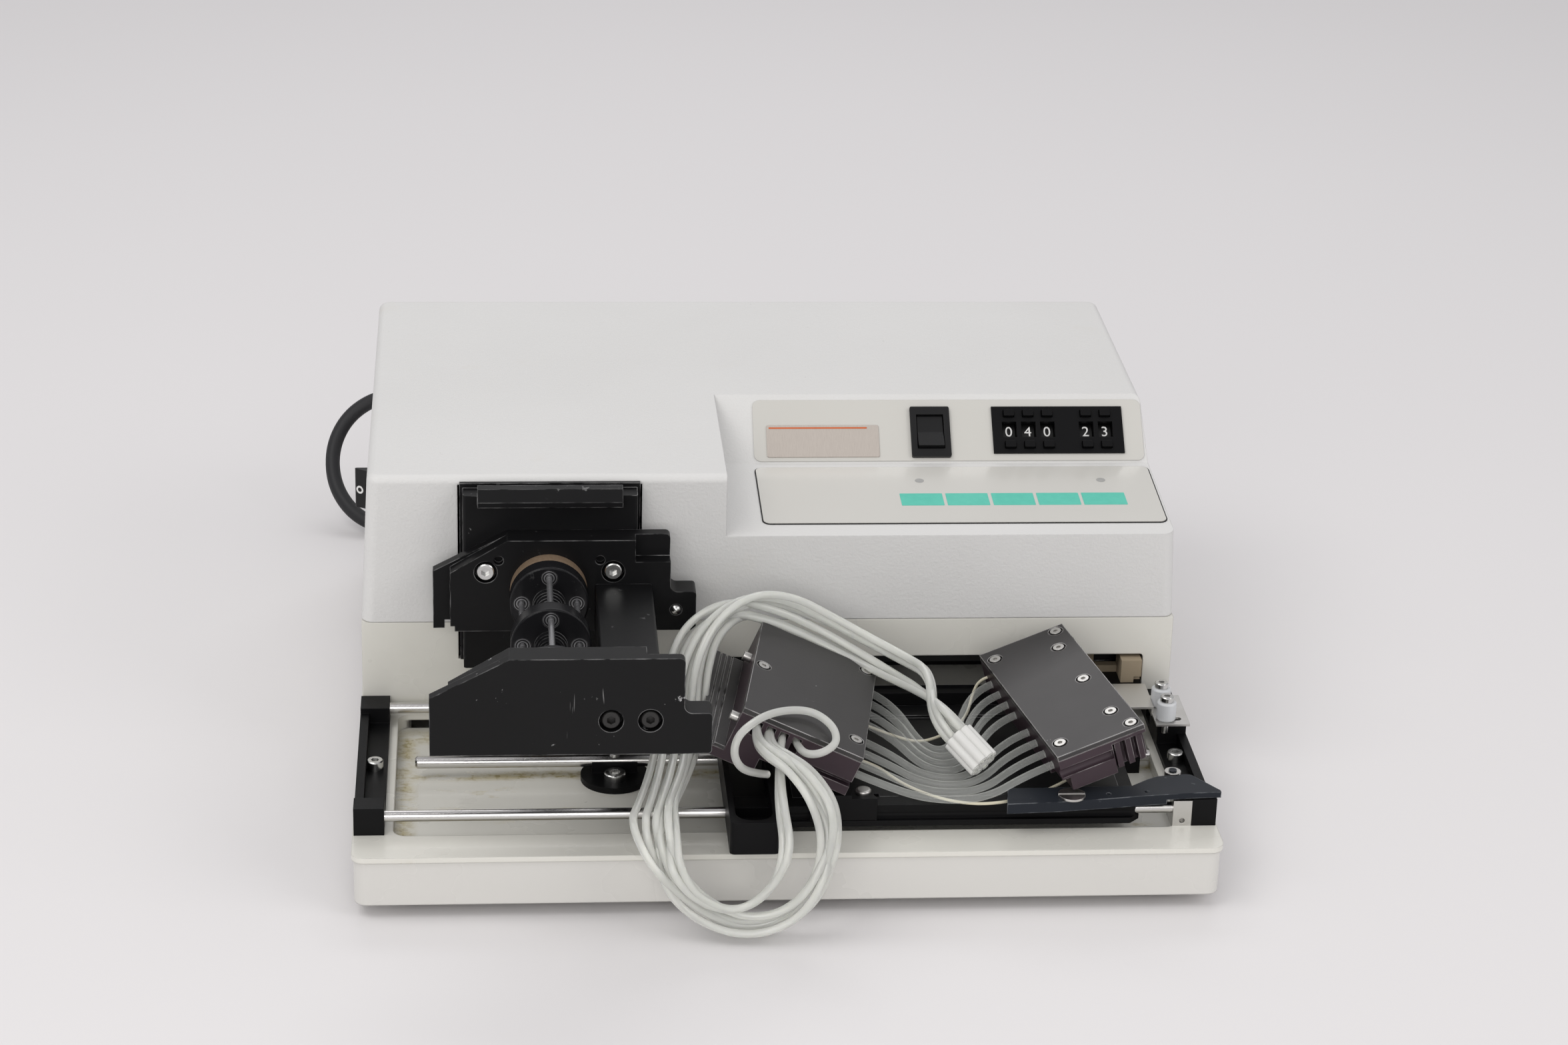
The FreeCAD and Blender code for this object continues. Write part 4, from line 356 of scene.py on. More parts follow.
def milky(name, base, clear, roughness=0.35):
    """Nylon and similar plastics that let some light in."""
    f = Finish(name)
    drift = f.noise(90.0, 3.0)
    colour = f.blend(drift, shaded(base, 0.94), base)
    normal = f.bump(f.noise(500.0, 2.0), 0.00004, 0.4, f.soft_edge(0.0004))
    return f.done(f.surface(**{"Base Color": colour, "Roughness": roughness, "Normal": normal,
                               "Transmission Weight": clear, "Subsurface Weight": 0.4,
                               "Subsurface Radius": (0.003, 0.003, 0.003), "IOR": 1.45}))


def ring_and_sleeves():
    """Sintered bronze for the thrust ring at the pump, milky nylon for the sleeves at the right."""
    f = Finish("bronze ring and nylon sleeves")
    right = f.axis("X").between(-0.001, 0.001)
    pores = f.noise(700.0, 3.0)
    bronze = f.surface(**{"Base Color": f.blend(pores, (0.20, 0.135, 0.085, 1), (0.38, 0.28, 0.19, 1)),
                          "Metallic": 0.45, "Roughness": 0.5, "Normal": f.soft_edge(0.0003)})
    nylon = f.surface(**{"Base Color": (0.86, 0.88, 0.90, 1), "Roughness": 0.3, "Transmission Weight": 0.35,
                         "Subsurface Weight": 0.5, "Subsurface Radius": (0.003, 0.003, 0.003),
                         "Normal": f.soft_edge(0.0004)})
    return f.done(f.node("ShaderNodeMixShader", {}, right, bronze, nylon))


def overlay_sheet():
    """Glossy warm white label stock."""
    f = Finish("white label sheet")
    drift = f.noise(12.0, 3.0)
    colour = f.blend(drift, (0.55, 0.54, 0.505, 1), (0.60, 0.59, 0.555, 1))
    normal = f.bump(f.noise(60.0, 2.0), 0.0001, 0.12, f.soft_edge(0.0002))
    return f.done(f.surface(**{"Base Color": colour, "Roughness": 0.22 + 0.08 * drift, "Normal": normal,
                               "Coat Weight": 0.4, "Coat Roughness": 0.1}))


def key_print():
    f = Finish("turquoise key print")
    grain = f.noise(300.0, 2.0)
    colour = f.blend(grain, (0.055, 0.475, 0.365, 1), (0.085, 0.555, 0.43, 1))
    return f.done(f.surface(**{"Base Color": colour, "Roughness": 0.3, "Normal": f.bump(grain, 0.00002, 0.3)}))


def badge_metal():
    f = Finish("blank badge")
    brush = f.noise(300.0, 2.0, (14, 1, 1))
    colour = f.blend(brush, (0.46, 0.41, 0.37, 1), (0.58, 0.53, 0.48, 1))
    return f.done(f.surface(**{"Base Color": colour, "Metallic": 0.25, "Roughness": 0.34,
                               "Normal": f.bump(brush, 0.00003, 0.4, f.soft_edge(0.0003))}))


def board():
    f = Finish("green circuit board")
    tracks = f.noise(240.0, 1.0, (1, 6, 1)).between(0.5, 0.52)
    colour = f.blend(tracks, (0.02, 0.16, 0.07, 1), (0.04, 0.25, 0.11, 1))
    return f.done(f.surface(**{"Base Color": colour, "Roughness": 0.45, "Normal": f.soft_edge(0.0003)}))


def pale_floor():
    f = Finish("pale studio floor")
    drift = f.noise(1.5, 2.0)
    return f.done(f.surface(**{"Base Color": f.blend(drift, (0.735, 0.72, 0.725, 1), (0.76, 0.745, 0.75, 1)),
                               "Roughness": 0.75}))


paint = textured_paint()
tray_white = enamel("tray enamel", (0.66, 0.65, 0.595, 1), (0.72, 0.71, 0.66, 1), True)
# Pan enamel is the tray's white made darker: painted shade for the front apron, which the lamps light less.
pan_white_painted_shade = enamel("pan enamel with painted shade", (0.60, 0.59, 0.56, 1), (0.66, 0.65, 0.62, 1), False)
black_metal = anodised("black anodised metal", (0.005, 0.005, 0.0055, 1), (0.42, 0.42, 0.42, 1), 0.34, 0.35)
scratched_black = anodised("scratched black plate", (0.006, 0.006, 0.0063, 1), (0.45, 0.45, 0.45, 1), 0.40, 1.0)
rotor_black = anodised("polished black rotor", (0.009, 0.009, 0.010, 1), (0.30, 0.30, 0.30, 1), 0.16, 0.1)
lever_metal = anodised("blue grey lever", (0.015, 0.018, 0.024, 1), (0.38, 0.40, 0.42, 1), 0.40, 0.4)
black_plastic = moulded("black moulded plastic", (0.0035, 0.0035, 0.004, 1), 0.40, dust=0.03, gloss=0.14)
switch_plastic = moulded("switch black", (0.008, 0.008, 0.0085, 1), 0.30, dust=0.03)
digit_black = moulded("digit wheel black", (0.006, 0.006, 0.006, 1), 0.42, dust=0.0)
digit_white = moulded("digit white", (0.80, 0.80, 0.79, 1), 0.5)
rubber = moulded("black rubber", (0.018, 0.018, 0.018, 1), 0.62, 260.0, 0.0001)
lead_rubber = moulded("mains lead sheath", (0.022, 0.022, 0.024, 1), 0.46, 320.0, 0.00005)
steel = metal("screw steel", (0.56, 0.55, 0.53, 1), 0.24)
rod_steel = metal("chromed rod", (0.62, 0.61, 0.60, 1), 0.10, (1, 60, 60), 0.35)
sheet_steel = metal("stainless sheet", (0.60, 0.59, 0.57, 1), 0.30, (1, 12, 1), 0.2)
bare_aluminium = metal("bare aluminium", (0.70, 0.70, 0.70, 1), 0.32, grime=0.15)
dark_motor = anodised("motor black", (0.03, 0.03, 0.03, 1), (0.3, 0.3, 0.3, 1), 0.45, 0.2)
clear_silicone = clear_tube()
milky_silicone = silicone("milky silicone tube", 0.42, (0.94, 0.955, 0.91, 1))
cream_tube = milky("cream thin tube", (0.74, 0.70, 0.55, 1), 0.1, 0.4)
collector_white = milky("white collector", (0.68, 0.68, 0.66, 1), 0.0, 0.5)
tan_block = moulded("tan block", (0.33, 0.27, 0.19, 1), 0.5)

finishes = {
    "base_pan": pan_white_painted_shade, "tray_moulding": tray_white, "rear_cover": paint, "front_labels": overlay_sheet(),
    "rubber_feet": rubber, "switch_bezels": switch_plastic, "digit_switch_housing": black_plastic,
    "mains_gland": lead_rubber, "pump_mount_plate": black_metal, "pump_rear_plate": black_metal,
    "pump_bridge_block": black_metal, "pump_front_plate": scratched_black, "spacer_sleeves": ring_and_sleeves(),
    "frame_screws": screw_metal(), "rail_supports": black_plastic, "guide_rods": rod_steel,
    "flag_bracket": sheet_steel,
    "drive_motors": dark_motor, "electronics": board(), "drive_belt": rubber, "carrier_frame": black_plastic,
    "plate_adapter": black_metal, "belt_clamp": tan_block, "carrier_screws": steel, "clamp_lever": lever_metal,
    "lever_bearing": steel, "pump_rotor": rotor_black, "plate_switch_rocker": switch_plastic,
    "power_switch_rocker": switch_plastic, "tube_block": purple_black(), "dispense_head": purple_black(),
    "cassette_plates": top_plate_metal(), "cassette_screws": steel, "tube_collector": collector_white,
    "dispense_tubes": clear_silicone, "supply_tubes": milky_silicone, "mains_cord": lead_rubber,
    "mains_coil": lead_rubber, "mains_plug": lead_rubber, "drive_pulley": bare_aluminium,
    "idler_pulley": bare_aluminium,
}
for number in range(1, 5):
    finishes["pump_roller_%d" % number] = bearing_steel("pump_roller_%d" % number)
for number in range(1, 6):
    finishes["digit_wheel_%d" % number] = digit_black
    finishes["plus_button_%d" % number] = black_plastic
    finishes["minus_button_%d" % number] = black_plastic
for name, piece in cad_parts.items():
    for slot in piece.material_slots:
        slot.material = finishes[name]


# Pieces


def new_piece(name, mesh, material, body):
    """Object from a finished bmesh, riding on its body."""
    data = bpy.data.meshes.new(name)
    mesh.to_mesh(data)
    mesh.free()
    data.materials.append(material)
    piece = bpy.data.objects.new(name, data)
    bpy.context.scene.collection.objects.link(piece)
    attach(piece, body)
    return piece


def panel_frame(y, z, degrees):
    """Frame of a console panel: X across, Y up the slope, Z out of it."""
    return Matrix.Translation((0, y * MM, z * MM)) @ Matrix.Rotation(math.radians(degrees), 4, "X")


fascia = panel_frame(13.0, 109.8, 41.9225)
keypad = panel_frame(-54.0, 105.3, 3.84245)
SHEET = 0.6
DIGITS = (105.9, 114.1, 122.3, 138.9, 147.1)


def rounded_pad(mesh, x0, x1, y0, y1, z0, z1, radius):
    """Block with rounded corners, in millimetres."""
    made = bmesh.ops.create_cube(mesh, size=1.0)["verts"]
    bmesh.ops.scale(mesh, vec=((x1 - x0) * MM, (y1 - y0) * MM, (z1 - z0) * MM), verts=made)
    bmesh.ops.translate(mesh, vec=((x0 + x1) / 2 * MM, (y0 + y1) / 2 * MM, (z0 + z1) / 2 * MM), verts=made)
    if radius:
        upright = {e for v in made for e in v.link_edges if abs((e.verts[0].co - e.verts[1].co).normalized().z) > 0.9}
        bmesh.ops.bevel(mesh, geom=list(upright), offset=radius * MM, offset_type="OFFSET", segments=4, profile=0.5,
                        affect="EDGES", material=-1)


def pads(name, blocks, at, radius, material, body="housing"):
    mesh = bmesh.new()
    for block in blocks:
        rounded_pad(mesh, *block, radius)
    bmesh.ops.transform(mesh, matrix=at, verts=mesh.verts)
    return new_piece(name, mesh, material, body)


keys = [(55.0, 72.7), (74.1, 91.7), (93.2, 110.7), (112.1, 129.7), (131.0, 149.1)]
pads("membrane_keys", [(a, b, 26.0, 37.0, SHEET, SHEET + 0.12) for a, b in keys], keypad, 0.3, key_print())
pads("blank_badge", [(2.3, 50.0, 2.6, 17.6, SHEET, SHEET + 0.5)], fascia, 0.8, badge_metal())
pads("badge_line", [(3.3, 45.0, 15.9, 16.6, SHEET + 0.5, SHEET + 0.56)], fascia, 0, moulded(
    "badge line print", (0.62, 0.13, 0.035, 1), 0.4))

pads("keypad_outline", [(-3.7, 163.5, 10.1, 62.9, 0.02, 0.35)], keypad, 3.5, digit_black)

lamp = Finish("dark lamp window")
window = lamp.done(lamp.surface(**{"Base Color": lamp.blend(lamp.noise(400.0), (0.30, 0.30, 0.29, 1),
                                                            (0.40, 0.40, 0.39, 1)), "Roughness": 0.25}))
mesh = bmesh.new()
for x in (64.7, 141.3):
    disc = bmesh.ops.create_circle(mesh, cap_ends=True, segments=32, radius=1.9 * MM)["verts"]
    bmesh.ops.translate(mesh, vec=(x * MM, 49.2 * MM, (SHEET + 0.06) * MM), verts=disc)
bmesh.ops.transform(mesh, matrix=keypad, verts=mesh.verts)
new_piece("lamp_windows", mesh, window, "housing")


def figure(name, text, size, at, material, body, thickness=0.06):
    """A numeral as a thin raised mesh."""
    curve = bpy.data.curves.new(name, "FONT")
    curve.body = text
    curve.size = size * MM
    curve.align_x = "CENTER"
    curve.align_y = "CENTER"
    curve.extrude = thickness * MM
    drawn = bpy.data.objects.new(name, curve)
    bpy.context.scene.collection.objects.link(drawn)
    bpy.context.view_layer.update()
    data = bpy.data.meshes.new_from_object(drawn)
    bpy.data.objects.remove(drawn)
    mesh = bmesh.new()
    mesh.from_mesh(data)
    bpy.data.meshes.remove(data)
    bmesh.ops.transform(mesh, matrix=at, verts=mesh.verts)
    return new_piece(name, mesh, material, body)


WHEEL_TOP = -1.3
for number, (x, shown) in enumerate(zip(DIGITS, "04023"), 1):
    place = fascia @ Matrix.Translation((x * MM, 15.1 * MM, (WHEEL_TOP - 0.10) * MM))
    figure("numeral_%d" % number, shown, 6.6, place, digit_white, "wheel_%d" % number, 0.22)


def ring(mesh, inner, outer, low, high, at, segments=32):
    """Square-edged ring round its own Z axis, in millimetres, moved to its place."""
    fours = []
    for k in range(segments):
        angle = 2 * math.pi * k / segments
        fours.append([mesh.verts.new(at @ Vector((r * MM * math.cos(angle), r * MM * math.sin(angle), z * MM)))
                      for r, z in ((inner, low), (outer, low), (outer, high), (inner, high))])
    for here, after in zip(fours, fours[1:] + fours[:1]):
        for a in range(4):
            b = (a + 1) % 4
            mesh.faces.new((here[a], after[a], after[b], here[b]))


ROCKER_PLAN = [(-166.9, 300.3), (-168.6, 304.5), (-174.6, 308.5), (-175.0, 309.2), (-174.2, 309.7), (-166.9, 309.7)]
mesh = bmesh.new()
ends = [[mesh.verts.new(spot(x, d, z)) for x, d in ROCKER_PLAN] for z in (42.2, 60.8)]
mesh.faces.new(ends[0])
mesh.faces.new(ends[1][::-1])
for a in range(len(ROCKER_PLAN)):
    b = (a + 1) % len(ROCKER_PLAN)
    mesh.faces.new((ends[0][b], ends[0][a], ends[1][a], ends[1][b]))
bmesh.ops.recalc_face_normals(mesh, faces=mesh.faces)
raised_rocker = new_piece("raised_power_rocker", mesh, switch_plastic, "power_rocker")
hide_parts("power_switch_rocker")
slope = (Vector(ROCKER_PLAN[1]) - Vector(ROCKER_PLAN[2])).normalized()
mesh = bmesh.new()
ring(mesh, 1.0, 1.9, -0.1, 0.1, Matrix.Translation(spot(-172.9, 307.4, 50.9)) @ Matrix((
    (slope.x, 0, slope.y, 0), (slope.y, 0, -slope.x, 0), (0, 1, 0, 0), (0, 0, 0, 1))))
new_piece("power_ring_mark", mesh, digit_white, "power_rocker")


# Tubes and cords


def smooth_line(name, points, diameter, material):
    """Round cord on one smooth spline with the route's points as its control points."""
    curve = bpy.data.curves.new(name, "CURVE")
    curve.dimensions = "3D"
    curve.bevel_depth = diameter * MM / 2
    curve.bevel_resolution = 4
    curve.resolution_u = 8
    curve.use_fill_caps = True
    spline = curve.splines.new("NURBS")
    spline.points.add(len(points) - 1)
    for point, place in zip(spline.points, points):
        point.co = (*spot(*place), 1.0)
    spline.order_u = 3
    spline.use_endpoint_u = True
    curve.materials.append(material)
    piece = bpy.data.objects.new(name, curve)
    bpy.context.scene.collection.objects.link(piece)
    return piece


def line_length(piece):
    """Length of the smooth line without its thickness."""
    copy = piece.copy()
    copy.data = piece.data.copy()
    copy.data.bevel_depth = 0.0
    bpy.context.scene.collection.objects.link(copy)
    bpy.context.view_layer.update()
    mesh = bpy.data.meshes.new_from_object(copy)
    total = sum((mesh.vertices[e.vertices[0]].co - mesh.vertices[e.vertices[1]].co).length for e in mesh.edges)
    bpy.data.objects.remove(copy)
    return total


BLOCK = (11.0, 55.6, 69.7), (-8.6, 22.1, 2.2)
HEAD = (109.8, 61.3, 65.8), (12.2, -16.6, 2.6)


def on_block(block, x, y, z):
    """Millimetre point of a cassette block's own frame, as (x, setback, z)."""
    centre, (yaw, pitch, roll) = block
    turn = Matrix.Rotation(math.radians(yaw), 3, "Z") @ Matrix.Rotation(math.radians(pitch), 3, "Y")
    turn = turn @ Matrix.Rotation(math.radians(roll), 3, "X")
    moved = Vector(centre) + turn @ Vector((x, y, z))
    return tuple(moved)


OFFSETS = (-34.2, -25.2, -16.2, -7.2, 7.2, 16.2, 25.2, 34.2)
dispensing = []
for number, y in enumerate(OFFSETS):
    low = 9.0 + 43.0 * number / 7
    lead = on_block(BLOCK, 25.0 + 11.0, y, -9.0)
    tail = on_block(HEAD, -18.3 - 11.0, y, -9.0)
    span = tail[0] - lead[0]
    route = [on_block(BLOCK, 25.0, y, -9.0), lead, (lead[0] + span * 0.3, low, 44.2),
             (lead[0] + span * 0.68, low - 1.5, 44.8), tail, on_block(HEAD, -18.3, y, -9.0)]
    line = smooth_line("dispensing_tube_%d" % (number + 1), route, 3.0, clear_silicone)
    dispensing.append((line, route))
for line, route in dispensing:
    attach(line, "cassette")
    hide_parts("dispense_tubes")
    tuple(spot(*route[0]))
    line_length(line)

long_inner = [
    (-7.8, 25.0, 66.9), (-9.7, 13.2, 66.5), (-4.5, 0.5, 67.5), (4.0, -8.0, 63.5), (11.5, -15.0, 52.0),
    (14.0, -17.5, 35.5), (10.5, -17.0, 18.5), (-1.0, -17.5, 6.0), (-17.5, -17.0, 2.4), (-33.0, -17.5, 9.0),
    (-45.5, -17.0, 20.5), (-54.5, -17.2, 34.5), (-57.5, -13.0, 48.0), (-54.0, -1.0, 51.0), (-50.0, 17.0, 55.0),
    (-47.2, 36.0, 60.0), (-46.4, 55.0, 66.5), (-44.5, 73.0, 75.0), (-36.0, 87.0, 85.0), (-20.0, 95.5, 90.0),
    (-1.0, 100.0, 84.0), (17.5, 100.5, 74.5), (34.5, 94.0, 66.5), (47.0, 79.0, 64.0), (54.5, 61.5, 66.0),
    (60.7, 39.9, 65.7), (67.4, 33.4, 60.3)]
long_outer = [
    (-12.7, 25.8, 69.0), (-14.7, 14.0, 68.5), (-11.5, -0.5, 69.5), (-3.5, -9.0, 67.0), (5.0, -16.5, 57.5),
    (9.5, -20.5, 43.0), (7.0, -21.0, 26.0), (-3.0, -21.0, 12.5), (-18.0, -21.2, 8.0), (-33.0, -21.0, 13.0),
    (-45.0, -21.2, 24.5), (-51.0, -19.0, 38.0), (-52.0, -11.5, 50.0), (-50.0, 2.0, 51.2), (-45.5, 18.0, 55.0),
    (-42.6, 36.0, 61.0), (-41.5, 54.0, 68.0), (-38.0, 70.5, 77.0), (-29.0, 82.5, 87.0), (-13.5, 96.0, 91.5),
    (4.0, 104.5, 86.0), (21.5, 104.5, 76.0), (38.0, 96.5, 69.5), (50.5, 81.0, 68.5), (58.0, 63.5, 71.0),
    (57.3, 36.4, 65.7), (64.0, 29.9, 60.3)]
short_loop = [
    (-2.8, 24.3, 64.9), (-4.8, 12.5, 64.5), (-6.0, 0.5, 60.0), (-7.0, -12.5, 53.5), (-5.0, -22.5, 40.0),
    (-9.0, -25.0, 24.5), (-22.0, -25.2, 15.0), (-36.5, -25.0, 20.5), (-44.5, -24.0, 33.5), (-45.5, -15.5, 46.0),
    (-46.0, -2.0, 50.4), (-41.5, 15.0, 52.5), (-37.0, 33.0, 57.0), (-34.5, 51.0, 63.5), (-33.0, 68.0, 72.0),
    (-28.0, 83.0, 80.0), (-18.0, 96.0, 82.5), (-6.0, 106.5, 78.0), (4.3, 103.8, 67.5), (2.9, 95.2, 67.2)]


FRONT_MOST, LOWEST = -25.0, 2.4
COLLECTOR = Vector((70.5, 27.0, 56.4))
COLLECTOR_AXIS = (Vector((67.4, 33.4, 60.3)) + Vector((64.0, 29.9, 60.3)) - 2 * COLLECTOR).normalized()


def winding(route, turns, phase, reach, end):
    """Route of a neighbour in the bunch, which winds round a route and comes back to it at the start."""
    last = len(route) - 1
    moved = [route[0]]
    for i in range(1, last - 1):
        here = Vector(route[i])
        run = (Vector(route[i + 1]) - Vector(route[i - 1])).normalized()
        aside = run.cross(Vector((0, 0, 1))).normalized()
        over = aside.cross(run)
        angle = phase + 2 * math.pi * turns * i / last
        away = reach * min(1.0, i / 4) * min(1.0, (last - i) / 5)
        x, d, z = here + aside * (away * math.cos(angle)) + over * (away * math.sin(angle))
        moved.append((x, max(d, FRONT_MOST), max(z, LOWEST)))
    return moved + end


def socket_ends(number):
    """Last two route points of a tube, in its hole of the collector."""
    angle = 2 * math.pi * number / 8
    aside = COLLECTOR_AXIS.cross(Vector((0, 0, 1))).normalized()
    over = aside.cross(COLLECTOR_AXIS)
    ring = aside * (3.6 * math.cos(angle)) + over * (3.6 * math.sin(angle))
    return [tuple(COLLECTOR + COLLECTOR_AXIS * 19.0 + ring * 1.15), tuple(COLLECTOR + COLLECTOR_AXIS * 7.6 + ring)]


tube_ends = bmesh.new()
lower_end = Matrix.Translation(spot(*(COLLECTOR - COLLECTOR_AXIS * 7.45))) @ Vector((0, 0, 1)).rotation_difference(
    -COLLECTOR_AXIS).to_matrix().to_4x4()
for number in range(8):
    angle = 2 * math.pi * number / 8
    ring(tube_ends, 0.8, 1.55, 0.0, 0.5, lower_end @ Matrix.Translation((
        4.6 * MM * math.cos(angle), 4.6 * MM * math.sin(angle), 0)), 20)
new_piece("collector_tube_ends", tube_ends, milky_silicone, "cassette")

bunch = [long_inner, long_outer, short_loop,
         winding(long_inner, 1.0, 0.4, 5.2, socket_ends(1)),
         winding(long_inner, -1.0, 3.4, 4.4, socket_ends(2)),
         winding(long_outer, 1.0, 2.2, 5.0, socket_ends(5)),
         winding(long_outer, -1.5, 5.0, 4.0, socket_ends(6)),
         winding(short_loop, 1.0, 1.2, 3.8, short_loop[-2:])]
for number, route in enumerate(bunch, 1):
    line = smooth_line("supply_tube_%d" % number, route, 3.1, milky_silicone)
    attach(line, "cassette")
    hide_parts("supply_tubes")
    tuple(spot(*route[0]))
    line_length(line)

loop = [
    (-9.4, 12.7, 54.0), (-14.1, 7.6, 57.0), (-20.2, 3.8, 61.0), (-23.2, 3.0, 67.0), (-22.1, 5.2, 73.0),
    (-17.3, 9.2, 76.5), (-9.5, 19.4, 76.2), (-0.1, 27.4, 74.2), (8.2, 31.3, 71.6), (13.9, 28.9, 69.3),
    (17.3, 22.0, 67.5), (17.0, 15.5, 65.2), (11.5, 13.2, 62.4), (5.5, 13.5, 61.8), (2.6, 18.5, 62.7),
    (2.2, 23.5, 62.9)]
ring_tube = smooth_line("looped_tube", loop, 3.1, milky_silicone)
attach(ring_tube, "cassette")
tuple(spot(*loop[-1]))
line_length(ring_tube)

thin_cords = [
    [(86.5, 97.0, 54.2), (83.0, 98.0, 52.5), (80.5, 98.0, 46.0), (78.5, 94.0, 39.5), (73.0, 85.0, 37.9),
     (65.0, 76.0, 37.9), (56.0, 70.0, 38.4), (46.0, 68.0, 42.0), on_block(BLOCK, 25.0, 14.0, -13.0)],
    [on_block(BLOCK, 25.0, -12.0, -15.0), (36.0, 47.0, 40.5), (44.0, 36.5, 38.2), (53.0, 26.0, 38.2),
     (64.5, 18.3, 38.2), (77.0, 16.2, 38.2), (92.0, 21.0, 38.2), (104.5, 30.0, 38.2), (114.0, 38.0, 39.5),
     (119.0, 44.0, 45.0)]]
for number, route in enumerate(thin_cords, 1):
    line = smooth_line("thin_cord_%d" % number, route, 1.2, cream_tube)
    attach(line, "cassette")
    tuple(spot(*route[0]))
    line_length(line)

LEAD = 7.0
COIL_MIDDLE = (-78.0, 432.0)
COIL_OUTER = 45.4
POINTS_PER_TURN = 16
visible_lead = [
    (-140.0, 365.2, 56.0), (-140.4, 382.0, 56.4), (-145.0, 397.0, 57.5), (-155.5, 409.5, 57.8),
    (-169.5, 415.5, 53.8), (-182.5, 413.5, 44.8), (-189.5, 404.5, 32.5), (-188.5, 391.5, 19.5),
    (-180.0, 380.0, 9.5), (-167.0, 374.5, 4.0), (-151.5, 376.5, 3.7), (-138.5, 386.0, 3.7),
    (-130.0, 399.5, 3.7), (-125.6, 414.5, 3.7), (-124.0, 429.5, 3.7)]


def step(value, low, high):
    return min(1.0, max(0.0, (value - low) / (high - low)))


def coil_point(turns):
    """Place on the stored coil after so many turns: three turns inwards, then outwards on top of them."""
    inwards = step(turns, 0.8, 1.0) + step(turns, 1.8, 2.0)
    outwards = step(turns, 3.3, 3.5) + step(turns, 4.3, 4.5) + step(turns, 5.3, 5.5)
    radius = (COIL_OUTER + LEAD * (outwards - inwards)) * 1.012
    angle = math.pi - 2 * math.pi * turns
    height = LEAD / 2 + 0.2 + LEAD * step(turns, 2.55, 2.8)
    return (COIL_MIDDLE[0] + radius * math.cos(angle), COIL_MIDDLE[1] + radius * math.sin(angle), height)


plug_x = COIL_MIDDLE[0] + COIL_OUTER
coiled = [coil_point((i + 1) / POINTS_PER_TURN) for i in range(int(5.5 * POINTS_PER_TURN))]
lead_end = [(plug_x + 5.5, 420.0, 9.5), (plug_x + 2.5, 408.0, 6.0), (plug_x, 397.0, 5.6), (plug_x, 387.5, 6.6)]
mains_line = smooth_line("mains_lead", visible_lead + coiled + lead_end, LEAD, lead_rubber)
mesh = bmesh.new()
for block in ((-13.0, 13.0, -12.0, 12.0, 0.2, 18.0, 5.0), (-7.1, -5.6, -29.0, -11.0, 9.1, 15.4, 0),
              (5.6, 7.1, -29.0, -11.0, 9.1, 15.4, 0)):
    rounded_pad(mesh, *block)
for place, radius, tip, length in (((0, 18.0, 7.4), 5.4, 3.8, 14.0), ((0, -20.5, 4.7), 2.4, 2.4, 21.0)):
    cone = bmesh.ops.create_cone(mesh, cap_ends=True, segments=24, radius1=radius * MM, radius2=tip * MM,
                                 depth=length * MM)["verts"]
    bmesh.ops.rotate(mesh, matrix=Matrix.Rotation(-math.pi / 2, 3, "X"), verts=cone)
    bmesh.ops.translate(mesh, vec=Vector(place) * MM, verts=cone)
bmesh.ops.translate(mesh, vec=spot(plug_x, 376.0, 0.0), verts=mesh.verts)
plug = new_piece("lead_plug", mesh, lead_rubber, "housing")
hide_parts("mains_plug")
around_coil = Matrix.Translation(spot(*COIL_MIDDLE, 0.0)) @ Matrix.Rotation(math.radians(126.0), 4, "Z")
tie = pads("coil_tie", [(27.3, 49.5, -1.3, 1.3, 14.2, 14.8), (27.3, 49.5, -1.3, 1.3, 0.02, 0.2),
                        (27.3, 27.9, -1.3, 1.3, 0.02, 14.8), (48.9, 49.5, -1.3, 1.3, 0.02, 14.8)],
           around_coil, 0, black_plastic)
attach(mains_line, "housing")
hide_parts("mains_cord", "mains_coil")
tuple(spot(*visible_lead[0]))
line_length(mains_line)


# Studio


floor_mesh = bmesh.new()
bmesh.ops.create_grid(floor_mesh, x_segments=1, y_segments=1, size=6.0)
floor_data = bpy.data.meshes.new("studio floor")
floor_mesh.to_mesh(floor_data)
floor_mesh.free()
floor_data.materials.append(pale_floor())
floor = bpy.data.objects.new("studio_floor", floor_data)
bpy.context.scene.collection.objects.link(floor)

world = bpy.data.worlds.new("studio")
bpy.context.scene.world = world
world.use_nodes = True
world.node_tree.nodes["Background"].inputs["Color"].default_value = (0.885, 0.875, 0.89, 1)
world.node_tree.nodes["Background"].inputs["Strength"].default_value = 0.62


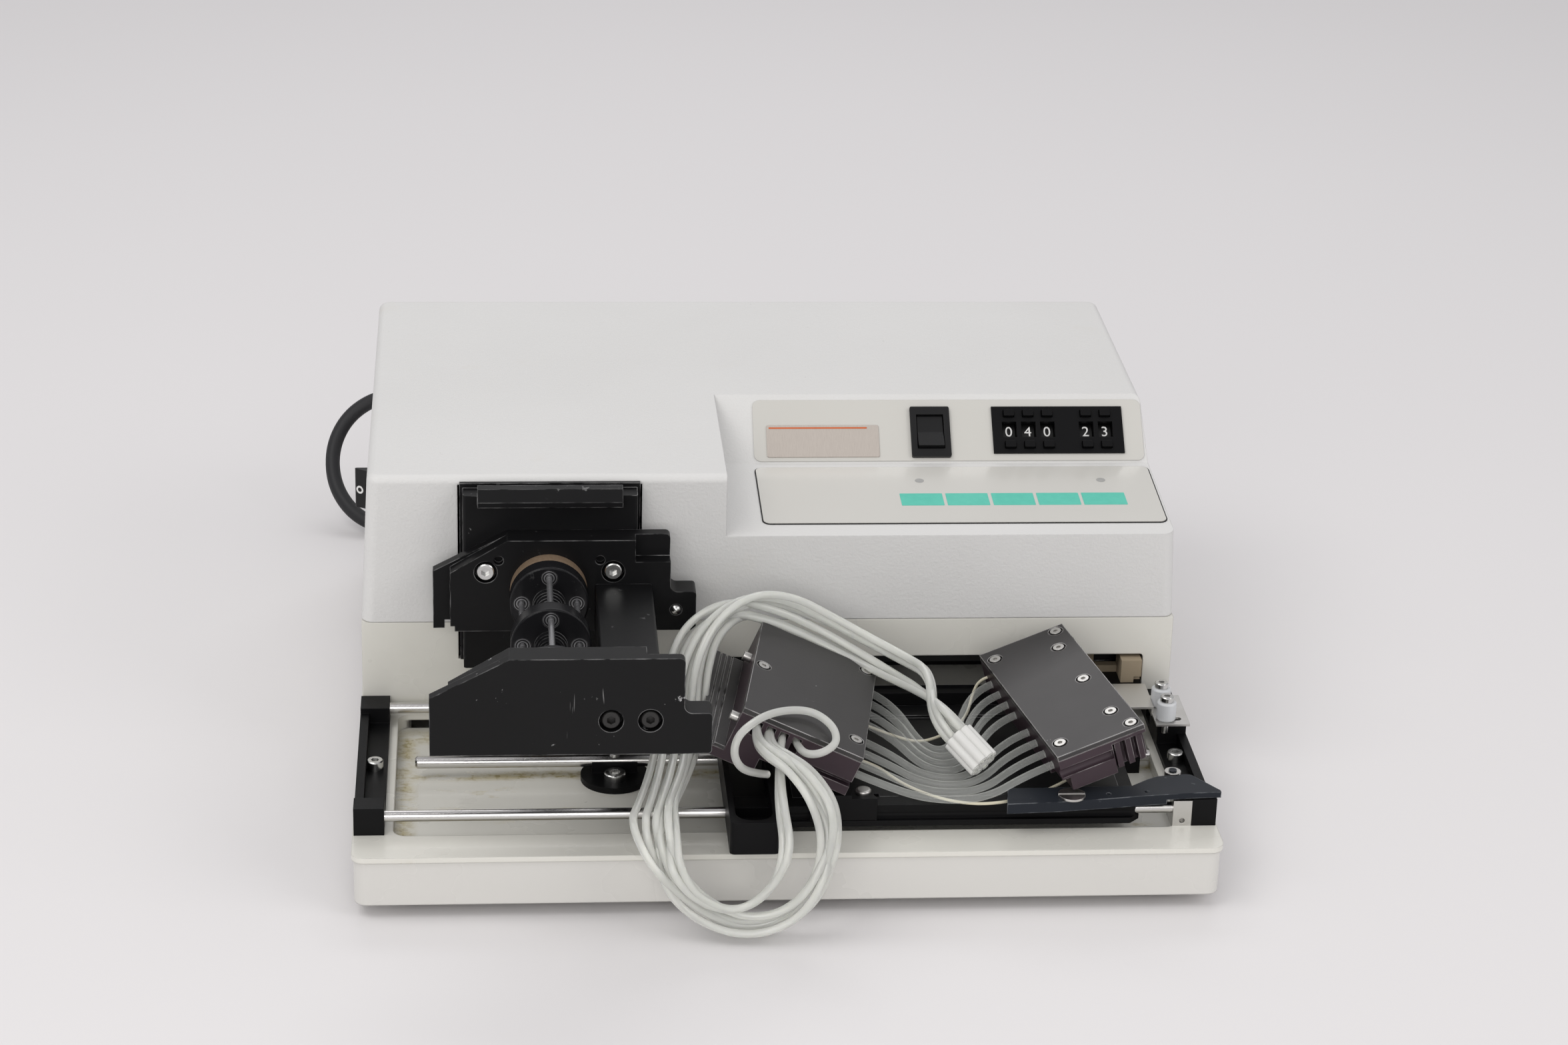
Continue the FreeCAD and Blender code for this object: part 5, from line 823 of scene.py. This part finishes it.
def area_light(name, place, target, size, power, colour=(1, 1, 1)):
    data = bpy.data.lights.new(name, "AREA")
    data.shape = "RECTANGLE"
    data.size, data.size_y = size
    data.energy = power
    data.color = colour
    lamp_object = bpy.data.objects.new(name, data)
    bpy.context.scene.collection.objects.link(lamp_object)
    lamp_object.location = place
    lamp_object.rotation_euler = (Vector(target) - Vector(place)).to_track_quat("-Z", "Y").to_euler()


area_light("key light", (-0.9, -0.5, 1.6), (0.0, 0.0, 0.05), (1.2, 0.9), 9.0, (1.0, 0.985, 0.96))
area_light("fill light", (1.2, -0.9, 1.1), (0.0, 0.0, 0.05), (1.0, 0.8), 5.5, (1.0, 0.985, 0.97))
area_light("front light", (-0.35, -1.75, 0.75), (0.0, -0.05, 0.09), (1.5, 0.9), 10.5, (1.0, 0.985, 0.965))
area_light("back light", (0.1, 1.1, 1.4), (0.0, 0.1, 0.1), (1.4, 0.6), 5.0)

CAMERA_PLACE = (-115.0, -1218.0, 679.0)
FOCAL_PIXELS, PICTURE_WIDTH, SENSOR_WIDTH = 5428.0, 2352.0, 36.0
pitch, yaw, roll = math.radians(22.85), math.radians(5.07), math.radians(1.68)
ahead = Vector((math.sin(yaw) * math.cos(pitch), math.cos(yaw) * math.cos(pitch), -math.sin(pitch)))
level = Vector((math.cos(yaw), -math.sin(yaw), 0))
upright = level.cross(ahead)
right = level * math.cos(roll) + upright * math.sin(roll)
up = upright * math.cos(roll) - level * math.sin(roll)
camera_data = bpy.data.cameras.new("camera")
camera_data.sensor_width = SENSOR_WIDTH
camera_data.lens = FOCAL_PIXELS / PICTURE_WIDTH * SENSOR_WIDTH
camera_data.clip_start = 0.05
camera_data.clip_end = 20.0
camera = bpy.data.objects.new("camera", camera_data)
bpy.context.scene.collection.objects.link(camera)
camera.matrix_world = Matrix.Translation(spot(*CAMERA_PLACE)) @ Matrix((right, up, -ahead)).transposed().to_4x4()
bpy.context.scene.camera = camera
bpy.context.scene.view_settings.view_transform = "Standard"
bpy.context.view_layer.update()
